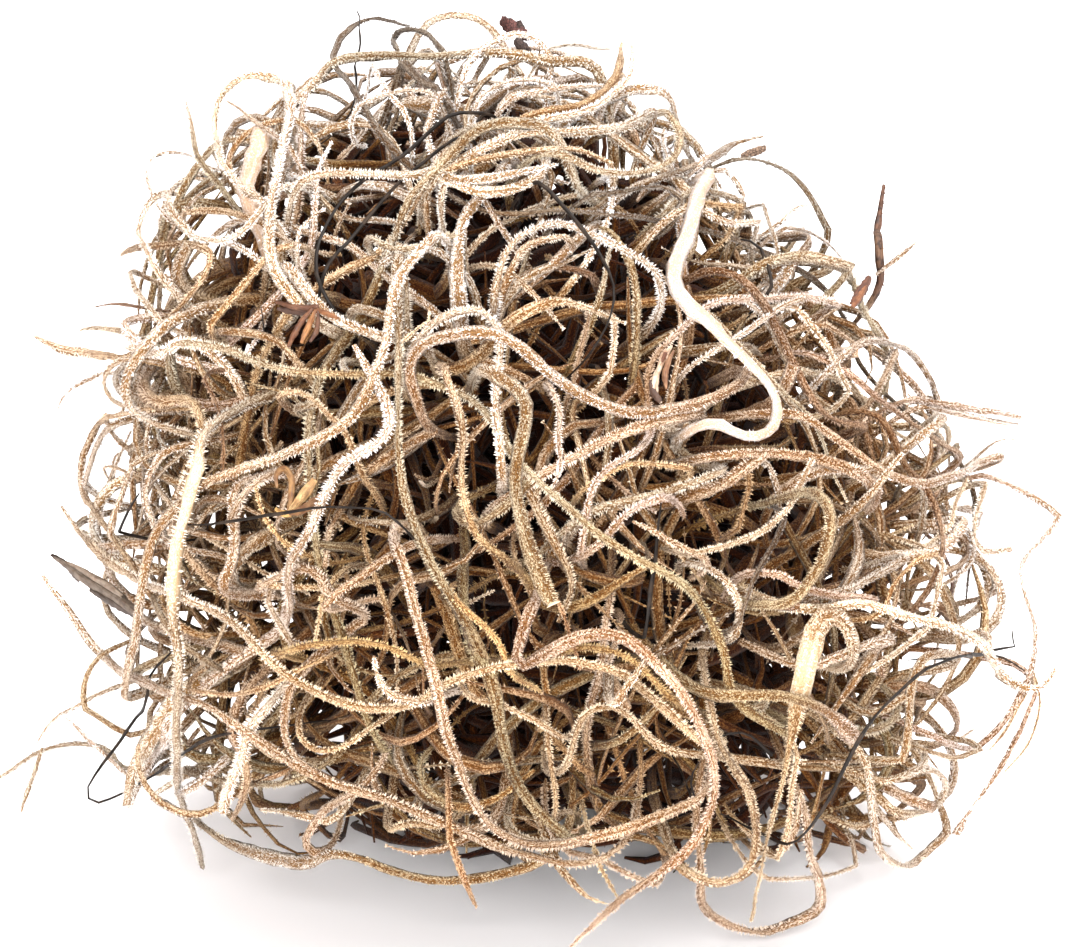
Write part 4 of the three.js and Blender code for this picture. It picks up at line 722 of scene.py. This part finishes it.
def grown(name, lines, material, sides=THREAD_SIDES, groove=THREAD_GROOVE, seed=0):
    """One finished piece from its threads: swept, haired and fixed as a plain mesh."""
    bm = bmesh.new()
    layers = {key: bm.verts.layers.float.new(key) for key in ("thick", "hairs", "run", "twist", "bald")}
    tint = bm.verts.layers.float_color.new("tint")
    for points in lines:
        last = None
        for place, radius, color, hairs, run, twist, bald in points:
            vert = bm.verts.new(place)
            vert[layers["thick"]] = radius
            vert[layers["hairs"]] = hairs
            vert[layers["run"]] = run
            vert[layers["twist"]] = twist
            vert[layers["bald"]] = bald
            vert[tint] = (*color, 1)
            if last:
                bm.edges.new((last, vert))
            last = vert
    mesh = bpy.data.meshes.new(name)
    bm.to_mesh(mesh)
    bm.free()
    piece = shown(name, mesh)
    modifier = piece.modifiers.new("sweep", "NODES")
    modifier.node_group = sweep
    settings = {"Sides": sides, "Groove": groove, "Seed": seed}
    for item in sweep.interface.items_tree:
        if item.name in settings:
            modifier[item.identifier] = settings[item.name]
    piece.data = bpy.data.meshes.new_from_object(piece.evaluated_get(bpy.context.evaluated_depsgraph_get()))
    piece.modifiers.clear()
    piece.data.name = name
    piece.data.materials.clear()
    piece.data.materials.append(material)
    return piece


# Fine streaks along a thread or a husk, shared by all the plant's materials. The attribute "skin" holds the
# place on the surface in metres: across in x and y, lengthwise in z.
streaks = bpy.data.node_groups.new("lengthwise streaks", "ShaderNodeTree")
streaks.interface.new_socket("Fineness", in_out="INPUT", socket_type="NodeSocketFloat")
streaks.interface.new_socket("Stretch", in_out="INPUT", socket_type="NodeSocketFloat")
streaks.interface.new_socket("Streak", in_out="OUTPUT", socket_type="NodeSocketFloat")
given = put(streaks, "NodeGroupInput").outputs
skin = put(streaks, "ShaderNodeAttribute", attribute_name="skin").outputs["Vector"]
squeeze = worked(streaks, "DIVIDE", 1.0, given["Stretch"])
squeeze = put(streaks, "ShaderNodeCombineXYZ", {"X": 1.0, "Y": 1.0, "Z": squeeze}).outputs[0]
skin = worked(streaks, "MULTIPLY", skin, squeeze, kind="ShaderNodeVectorMath")
streak = put(streaks, "ShaderNodeTexNoise", {
    "Vector": skin, "Scale": given["Fineness"], "Detail": 2.0, "Roughness": 0.65}).outputs[0]
streaks.links.new(streak, put(streaks, "NodeGroupOutput").inputs[0])


def streaked(tree, fineness, stretch):
    inputs = {"Fineness": fineness, "Stretch": stretch}
    return put(tree, "ShaderNodeGroup", inputs, node_tree=streaks).outputs["Streak"]


def mottled(tree, fineness, detail=2.0, **inputs):
    """Soft spots all over a piece."""
    coords = put(tree, "ShaderNodeTexCoord").outputs["Object"]
    inputs.update({"Vector": coords, "Scale": fineness, "Detail": detail})
    return put(tree, "ShaderNodeTexNoise", inputs).outputs[0]


def carried(tree, name, output="Fac"):
    """A value that the piece carries at each of its points."""
    return put(tree, "ShaderNodeAttribute", attribute_name=name).outputs[output]


def between(tree, value, low, high):
    """0 at low and under, 1 at high and over."""
    return put(tree, "ShaderNodeMapRange", {"Value": value, "From Min": low, "From Max": high}).outputs[0]


def blended(tree, factor, first, second, way="MIX"):
    inputs = {"Factor": factor, 6: first, 7: second}
    return put(tree, "ShaderNodeMix", inputs, data_type="RGBA", blend_type=way).outputs[2]


def dyed(tree, color, dye):
    return blended(tree, 1.0, color, (*dye, 1) if isinstance(dye, tuple) else dye, "MULTIPLY")


def look(name):
    """A new material with an empty node tree."""
    material = bpy.data.materials.new(name)
    material.use_nodes = True
    material.node_tree.nodes.clear()
    return material, material.node_tree


def finished(tree, color, rough, height, depth, **sockets):
    """The shader that ends each plant material: its colour, roughness and relief, and its own sockets."""
    relief = put(tree, "ShaderNodeBump", {"Strength": 1.0, "Distance": depth, "Height": height}).outputs[0]
    inputs = {"Base Color": color, "Roughness": rough, "Normal": relief}
    inputs.update({key.replace("_", " "): value for key, value in sockets.items()})
    shader = put(tree, "ShaderNodeBsdfPrincipled", inputs).outputs[0]
    tree.links.new(shader, put(tree, "ShaderNodeOutputMaterial").inputs["Surface"])


# The look of a scaly thread: a coat of pale scales, worn in streaks down to the brown skin, with painted
# shade in its furrows as well as wear there, and the loose scale edges palest of all.
SKIN_BROWN = (0.30, 0.175, 0.075, 1)  # what shows where the scales are worn off
SKIN_PALE = (0.78, 0.64, 0.48, 1)  # the same on a bald pale sheath
SPECK_DARK, SPECK_LIGHT = (0.44, 0.37, 0.29, 1), (1.28, 1.36, 1.47, 1)
EDGE_LIGHT = (1.45, 1.58, 1.80)
moss, tree = look("scaly moss")
tint = carried(tree, "tint", "Color")
bald = carried(tree, "bald")
scales = streaked(tree, 9500.0, 2.0)
grain = mottled(tree, 7000.0, Roughness=0.6)
furrow_wear_and_shade = worked(tree, "COSINE", worked(tree, "MULTIPLY", carried(tree, "around"), 4 * math.pi))
# Painted shade and wear: the coat thins along the furrows, so the darker skin shows there.
coat = worked(tree, "MULTIPLY_ADD", worked(tree, "MAXIMUM", furrow_wear_and_shade, 0.0), -0.13, scales)
coat = between(tree, worked(tree, "MULTIPLY_ADD", mottled(tree, 330.0), -0.30, coat), 0.25, 0.43)
bare = dyed(tree, tint, blended(tree, bald, SKIN_BROWN, SKIN_PALE))
speck = blended(tree, between(tree, grain, 0.36, 0.62), SPECK_DARK, SPECK_LIGHT)
speck = blended(tree, worked(tree, "MULTIPLY", bald, 0.75), speck, (1, 1, 1, 1))
color = dyed(tree, blended(tree, coat, bare, tint), speck)
color = blended(tree, carried(tree, "fuzz"), color, dyed(tree, tint, EDGE_LIGHT))
finished(tree, color, 0.85, grain, 0.00012, Specular_IOR_Level=0.08, Sheen_Weight=0.06, Sheen_Roughness=0.4)

for number, name in enumerate(STRAND_TONES):
    piece = grown(name + "_visual", threads[name], moss, seed=number)
    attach(piece, "root")
    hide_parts(name)

# 2. Old leaves inside. Leaves that died in the tangle have lost most of their loose scale edges. They curl
# every way and fill the inside: dull brown deep down and darkened further there by painted shade, the colour
# of the live ones nearer the outside.
OLD_LEAVES = 1250
OLD_LEAF_LENGTHS = (0.020, 0.036)
OLD_LEAF_RADII = (0.00030, 0.00046)
DEEP_LEAF_RADII = (0.00045, 0.00080)
OLD_LEAF_STEP = 0.0020
DEEP_LEAVES = ("old brown", "old brown", "old rust", "tan")
SHALLOW_LEAVES = ("grey", "olive", "tan", "cream", "cream")
OLD_LEAF_PIECES = 4
for number in range(OLD_LEAVES):
    deep = number % 5 < 3
    depth = chance.uniform(0.05, 0.66) ** 0.7 if deep else chance.uniform(0.74, 0.93)
    ceiling = 0.066 if deep else 0.070
    nearly = 0.8 if deep else 0.12
    spot = None
    while spot is None or not depth - nearly < outwardness(spot) < depth:
        low, high = (-0.042, -0.040, 0.007), (0.042, 0.040, ceiling)
        spot = Vector([chance.uniform(least, most) for least, most in zip(low, high)])
    start = min(chance.sample(stem_points, 150), key=lambda pair: (pair[0] - spot).length_squared)[0]
    length = chance.uniform(*OLD_LEAF_LENGTHS)
    limit = (0.66 if spot.z < 0.018 else 0.80) if deep else 0.99
    for _ in range(4):
        whole = wandering(start, spot - start, length, depth)
        leaf = kept_in(whole, limit)
        if len(leaf) == len(whole):
            break
    if len(leaf) < 10:
        continue
    radius = chance.uniform(*(DEEP_LEAF_RADII if deep else OLD_LEAF_RADII))
    stations = [(0, 0.6 * radius), (0.3, radius), (0.7, radius), (1, 0.2 * radius)]
    line = smoothed(leaf[::3], OLD_LEAF_STEP)
    tone = chance.choice(DEEP_LEAVES if deep else SHALLOW_LEAVES)
    thread(f"old_leaves_{number % OLD_LEAF_PIECES}", line, stations, tone, 0 if deep else 0.15)
for number in range(OLD_LEAF_PIECES):
    name = f"old_leaves_{number}"
    piece = grown(name, threads[name], moss, sides=4, groove=0.3)
    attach(piece, "root")

# 3. Tendrils. The growing ends of the strands, half as thick as the rest, with a thinner coat over red-brown
# skin. They hang loose round the bunch and taper to a point, or to the small knob of a broken bud.
TENDRILS = {
    "tendril_crown_curl": ("slate", ()),
    "tendril_right_hanger": ("russet", (((954, 828), 9, 0.0012),)),
    "tendril_right_shoulder": ("dusk", ()),
    "tendril_right_trailer": ("russet", ()),
}
for number, (name, (tone, swellings)) in enumerate(TENDRILS.items()):
    middles, radius = centre_line(name)
    stations = [(0, 0.3 * radius), (0.1, radius), (0.9, radius), (1, 0.3 * radius)]
    thread(name, smoothed(middles, LINE_STEP), stations, tone, swellings=swellings)
    piece = grown(name + "_visual", threads[name], moss, seed=60 + number)
    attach(piece, "root")
    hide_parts(name)

# 4. The red-brown leaf. A leaf that dried before it opened: a narrow channelled blade standing out of the
# right shoulder, dark red-brown and nearly bald, whose long base runs down among the strands.
middles, radius = centre_line("leaf_red_brown")
if middles[0].z < middles[-1].z:
    middles.reverse()
line = smoothed(middles, LINE_STEP)
stations = [(at, share * radius) for at, share in ((0, 0.5), (0.05, 1.1), (0.12, 1.4), (0.3, 1.0), (1, 0.5))]
thread("leaf_red_brown", line, stations, "rust", patches=PATCHES["leaf_red_brown"])

shrivelled, tree = look("shrivelled red-brown leaf")
tint = carried(tree, "tint", "Color")
veins = streaked(tree, 7000.0, 9.0)
rot = between(tree, mottled(tree, 1600.0), 0.46, 0.60)
color = blended(tree, between(tree, veins, 0.4, 0.62), dyed(tree, tint, (0.5, 0.42, 0.35)), tint)
color = blended(tree, rot, color, dyed(tree, color, (0.28, 0.22, 0.2)))
finished(tree, color, 0.6, veins, 0.0001, Specular_IOR_Level=0.4)

piece = grown("leaf_red_brown_visual", threads["leaf_red_brown"], shrivelled, groove=0.5)
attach(piece, "root")
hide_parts("leaf_red_brown")

# 5. Bare fibres. Where the leaves and scales have rotted off, the strand's core is left: a springy wire, near
# black with a dull gloss, kinked where leaves sat. Some lie right across the bunch, others just poke out.
LOOSE_FIBRES = [  # width in pixels, millimetres above the mound's skin, route in pixels of the front view
    (4, 1.5, (664, 500), (660, 540), (655, 580), (650, 620), (647, 640)),
    (4, 1.5, (740, 240), (755, 244), (763, 259), (770, 275), (772, 290)),
    (4, 0.5, (140, 495), (128, 512), (119, 530)),
    (3, 2, (720, 740), (735, 733), (750, 735), (761, 746), (772, 756)),
    (3, 2, (697, 763), (688, 780), (690, 793), (694, 806)),
    (3, 0, (1012, 632), (1013, 641), (1015, 650)),
    (3, -1.5, (357, 9), (361, 17), (361, 26), (362, 38), (360, 52), (355, 66)),
    (3, 0.5, (259, 306), (261, 320), (262, 334)),
]
FIBRE_NODES = [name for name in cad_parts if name.startswith("fibre_")]
for name in FIBRE_NODES:
    middles, radius = centre_line(name)
    stations = [(0, 0.4 * radius), (0.1, 0.9 * radius), (0.8, 0.8 * radius), (1, 0.3 * radius)]
    thread(name, smoothed(middles, LINE_STEP), stations, "slate", 0)
for width, layer, *route in LOOSE_FIBRES:
    line = smoothed(routed(route, layer), LINE_STEP)
    radius = width / 2 / PIXELS_PER_METRE
    inwards = wandering(line[-1], line[-1] - line[-2] - 0.002 * way_out(line[-1]), 0.010, 0.6)[1:]
    stations = [(0, 0.4 * radius), (0.3, radius), (0.8, 0.8 * radius), (1, 0.3 * radius)]
    thread("loose_fibres", line + inwards, stations, "slate", 0)

wire, tree = look("bare black fibre")
ribs = streaked(tree, 9000.0, 12.0)
scabs = between(tree, mottled(tree, 900.0), 0.52, 0.66)
color = blended(tree, ribs, (0.004, 0.003, 0.0025, 1), (0.013, 0.009, 0.007, 1))
color = blended(tree, scabs, color, (0.03, 0.02, 0.014, 1))
rough = put(tree, "ShaderNodeMapRange", {"Value": scabs, "To Min": 0.5, "To Max": 0.85}).outputs[0]
finished(tree, color, rough, ribs, 0.00006, Specular_IOR_Level=0.14)

for name in [*FIBRE_NODES, "loose_fibres"]:
    piece = grown(name + "_visual", threads[name], wire, sides=6, groove=0.12)
    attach(piece, "root")
    if name in FIBRE_NODES:
        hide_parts(name)

# 6. Husks. What flowering left in the bunch: the grey sheath that wrapped a flower stalk, a split seed
# capsule, a dried flower, a shredded bract and the red-brown bract at the leaf's foot. Each is a few papery
# blades, curled as they dried and stuck together at their base.
# Each blade: albedo, half width in millimetres along it, curl in radians (negative: open to the front), and
# its route in pixels of the front view.
HUSK_WALL = 0.00010
HUSK_RAGGED = 0.3  # how uneven a blade's edges are, as a share of its breadth
BLADE_STEP = 0.0003
HUSKS = {
    "husk_withered_sheath": (0.4, [
        ((0.13, 0.105, 0.085), (0.14, 0.50, 0.90, 1.0, 0.95, 0.7), 2.0,
         (53, 556), (64, 563), (78, 574), (96, 585), (116, 597), (136, 612)),
        ((0.22, 0.18, 0.145), (0.08, 0.26, 0.36, 0.40, 0.2), 1.5,
         (66, 561), (80, 568), (95, 577), (110, 586), (122, 595)),
        ((0.05, 0.036, 0.03), (0.12, 0.30, 0.36, 0.2), 1.2,
         (52, 554), (60, 559), (70, 568), (80, 580)),
        ((0.06, 0.045, 0.036), (0.15, 0.34, 0.4, 0.25), 1.2,
         (90, 589), (104, 597), (118, 605), (134, 614)),
    ]),
    "husk_seed_capsule": (4.4, [
        ((0.42, 0.34, 0.275), (0.08, 0.34, 0.24, 0.38, 0.30, 0.1), 1.0,
         (672, 345), (664, 356), (659, 368), (655, 380), (655, 392), (661, 402)),
        ((0.20, 0.11, 0.06), (0.06, 0.26, 0.30, 0.10), 0.9,
         (674, 350), (668, 362), (665, 374), (666, 388)),
        ((0.13, 0.05, 0.022), (0.08, 0.20, 0.18, 0.08), 0.8,
         (669, 348), (665, 354), (662, 361)),
        ((0.06, 0.03, 0.018), (0.16, 0.36, 0.34, 0.15), 1.3,
         (651, 380), (652, 388), (656, 396), (661, 401)),
    ]),
    "husk_dried_flower": (4.4, [
        ((0.20, 0.11, 0.042), (0.12, 0.30, 0.34, 0.30, 0.25), 1.1,
         (276, 487), (275, 474), (283, 468), (290, 478), (290, 496), (288, 511)),
        ((0.40, 0.285, 0.14), (0.15, 0.40, 0.55, 0.30), 1.0,
         (287, 512), (297, 501), (307, 489), (314, 479)),
        ((0.17, 0.09, 0.038), (0.15, 0.36, 0.40, 0.15), -0.9,
         (288, 513), (300, 510), (311, 503), (320, 494)),
        ((0.42, 0.27, 0.10), (0.10, 0.26, 0.20), 0.7,
         (274, 508), (281, 513), (291, 514)),
    ]),
    "husk_shredded_bract": (3.6, [
        ((0.10, 0.042, 0.02), (0.10, 0.30, 0.34, 0.22), 1.2,
         (275, 301), (290, 305), (304, 308), (319, 306)),
        ((0.05, 0.022, 0.012), (0.10, 0.26, 0.26, 0.1), 1.0,
         (277, 308), (292, 311), (308, 313)),
        ((0.13, 0.055, 0.022), (0.12, 0.28, 0.34, 0.16), 1.3,
         (313, 308), (303, 319), (295, 332), (288, 346)),
        ((0.24, 0.115, 0.042), (0.12, 0.24, 0.30, 0.12), 0.9,
         (316, 309), (311, 320), (306, 331), (301, 342)),
        ((0.09, 0.038, 0.018), (0.10, 0.22, 0.26, 0.10), 1.1,
         (318, 308), (318, 320), (316, 331), (310, 341)),
        ((0.20, 0.09, 0.035), (0.08, 0.20, 0.20, 0.05), 0.8,
         (316, 309), (327, 313), (339, 318)),
    ]),
    "husk_foot_bract": (2.0, [
        ((0.095, 0.038, 0.022), (0.32, 0.56, 0.58, 0.54, 0.30), 1.2,
         (870, 276), (865, 285), (860, 293), (853, 304)),
        ((0.20, 0.085, 0.038), (0.10, 0.28, 0.34, 0.20), 1.0,
         (867, 285), (861, 294), (853, 306)),
    ]),
}


def add_blade(bm, color, breadths, curl, route, wall, ragged):
    """Adds a dry papery blade along the route, with its breadth in millimetres at even stations."""
    line = smoothed(route, BLADE_STEP)
    tint = bm.verts.layers.float_color["tint"]
    skin = bm.verts.layers.float_vector["skin"]
    sheet = bmesh.ops.create_grid(bm, x_segments=26, y_segments=8, size=1.0)["verts"]
    for vert in sheet:
        share, across = (vert.co.x + 1) / 2, vert.co.y
        along = share * (len(line) - 1.001)
        at = int(along)
        middle = line[at].lerp(line[at + 1], along - at)
        heading = (line[at + 1] - line[at]).normalized()
        side = heading.cross(towards_eye).normalized()
        front = side.cross(heading)
        station = share * (len(breadths) - 1.001)
        low = int(station)
        half = 0.001 * (breadths[low] + (breadths[low + 1] - breadths[low]) * (station - low))
        half *= 1 + ragged * noise.noise(Vector((share * 14, math.copysign(3, across), color[0] * 50)))
        bend = half / abs(curl)
        sideways = bend * math.sin(across * abs(curl))
        backwards = math.copysign(bend * (1 - math.cos(across * curl)), curl)
        crease = 0.00007 * noise.noise(Vector((share * 20, across * 3, color[0] * 90)))
        vert.co = middle + side * sideways + front * (crease - backwards)
        vert[skin] = Vector((across * half, 0, share * len(line) * BLADE_STEP))
        vert[tint] = (*color, 1)
    faces = list(dict.fromkeys(face for vert in sheet for face in vert.link_faces))
    bmesh.ops.solidify(bm, geom=faces, thickness=wall)


def husk(name, layer, blades, material, wall, ragged):
    """A husk made of its blades, sitting where its CAD node does if it has one."""
    bm = bmesh.new()
    bm.verts.layers.float_color.new("tint")
    bm.verts.layers.float_vector.new("skin")
    for color, breadths, curl, *route in blades:
        add_blade(bm, color, breadths, curl, routed(route, layer), wall, ragged)
    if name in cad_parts:
        low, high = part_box(name)
        middle = sum((vert.co for vert in bm.verts), Vector()) / len(bm.verts)
        nearer = ((low + high) / 2 - middle).dot(towards_eye)
        bmesh.ops.translate(bm, verts=bm.verts, vec=towards_eye * nearer)
    bmesh.ops.recalc_face_normals(bm, faces=bm.faces)
    mesh = bpy.data.meshes.new(name)
    bm.to_mesh(mesh)
    bm.free()
    mesh.shade_smooth()
    mesh.materials.append(material)
    piece = shown(name + "_visual", mesh)
    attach(piece, "root")
    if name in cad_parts:
        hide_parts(name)
    return piece


papery, tree = look("papery husk")
tint = carried(tree, "tint", "Color")
veins = streaked(tree, 11000.0, 16.0)
stains = between(tree, mottled(tree, 1300.0, 3.0), 0.42, 0.62)
ridge = between(tree, veins, 0.38, 0.62)
color = blended(tree, ridge, dyed(tree, tint, (0.52, 0.44, 0.36)), dyed(tree, tint, (1.3, 1.26, 1.2)))
color = blended(tree, stains, color, dyed(tree, color, (0.62, 0.5, 0.42)))
rough = put(tree, "ShaderNodeMapRange", {"Value": ridge, "To Min": 0.45, "To Max": 0.75}).outputs[0]
finished(tree, color, rough, veins, 0.00010, Specular_IOR_Level=0.4)

for name, (layer, blades) in HUSKS.items():
    piece = husk(name, layer, blades, papery, HUSK_WALL, HUSK_RAGGED)

# 7. Bark chips. Flakes of the host tree's bark that came away with the moss and lie caught in the crown:
# thick hard chips, dark red-brown inside and nearly black outside, cracked across.
BARK_WALL = 0.00030
BARK_RAGGED = 0.35
BARK_CHIPS = {
    "husk_bark_chip": (0.6, [
        ((0.115, 0.048, 0.042), (0.30, 0.50, 0.52, 0.45, 0.15), 0.5,
         (501, 15), (509, 20), (518, 26), (529, 33)),
        ((0.045, 0.028, 0.024), (0.20, 0.30, 0.30, 0.10), 0.4,
         (519, 17), (521, 24), (526, 32)),
    ]),
    "bark_chip_low": (1.0, [
        ((0.05, 0.034, 0.028), (0.20, 0.34, 0.36, 0.20), 0.5,
         (515, 39), (520, 43), (526, 47), (530, 51)),
    ]),
    "bark_chip_right": (0.6, [
        ((0.20, 0.14, 0.10), (0.10, 0.24, 0.26, 0.12), 0.5,
         (741, 155), (749, 152), (758, 149), (766, 146)),
    ]),
}
bark, tree = look("red-brown bark")
tint = carried(tree, "tint", "Color")
coords = put(tree, "ShaderNodeTexCoord").outputs["Object"]
cells = put(tree, "ShaderNodeTexVoronoi", {"Vector": coords, "Scale": 3200.0}, feature="DISTANCE_TO_EDGE")
cells = between(tree, cells.outputs[0], 0.0, 0.12)
grain = streaked(tree, 6000.0, 5.0)
color = blended(tree, grain, dyed(tree, tint, (0.4, 0.36, 0.36)), dyed(tree, tint, (1.5, 1.4, 1.35)))
color = blended(tree, cells, (0.015, 0.010, 0.009, 1), color)
finished(tree, color, 0.8, worked(tree, "MULTIPLY", cells, grain), 0.00012, Specular_IOR_Level=0.3)

for name, (layer, blades) in BARK_CHIPS.items():
    piece = husk(name, layer, blades, bark, BARK_WALL, BARK_RAGGED)

# The table and the light: a white table under a wide soft light from above and in front.
floor_mesh = bpy.data.meshes.new("table")
bm = bmesh.new()
bmesh.ops.create_grid(bm, x_segments=1, y_segments=1, size=3)
bm.to_mesh(floor_mesh)
bm.free()
floor = shown("table", floor_mesh)
table = bpy.data.materials.new("white table")
table.use_nodes = True
paint = table.node_tree.nodes["Principled BSDF"].inputs
paint["Base Color"].default_value = (0.94, 0.92, 0.925, 1)
paint["Roughness"].default_value = 0.7
floor_mesh.materials.append(table)

world = bpy.data.worlds.new("studio")
world.use_nodes = True
sky = world.node_tree.nodes["Background"].inputs
sky["Color"].default_value = (1, 0.945, 0.92, 1)
sky["Strength"].default_value = 0.86
bpy.context.scene.world = world


def softbox(name, place, aim, size, power):
    light = shown(name, bpy.data.lights.new(name, "AREA"))
    light.data.shape = "RECTANGLE"
    light.data.size, light.data.size_y = size
    light.data.energy = power
    light.location = place
    light.rotation_euler = (Vector(aim) - Vector(place)).to_track_quat("-Z", "Y").to_euler()


softbox("key", (0.16, 0.00, 0.92), (0, 0, 0.04), (0.50, 0.50), 18)
softbox("fill", (-0.05, -0.90, 0.30), (0, 0, 0.04), (0.50, 0.50), 22)
bpy.context.scene.view_settings.view_transform = "Standard"
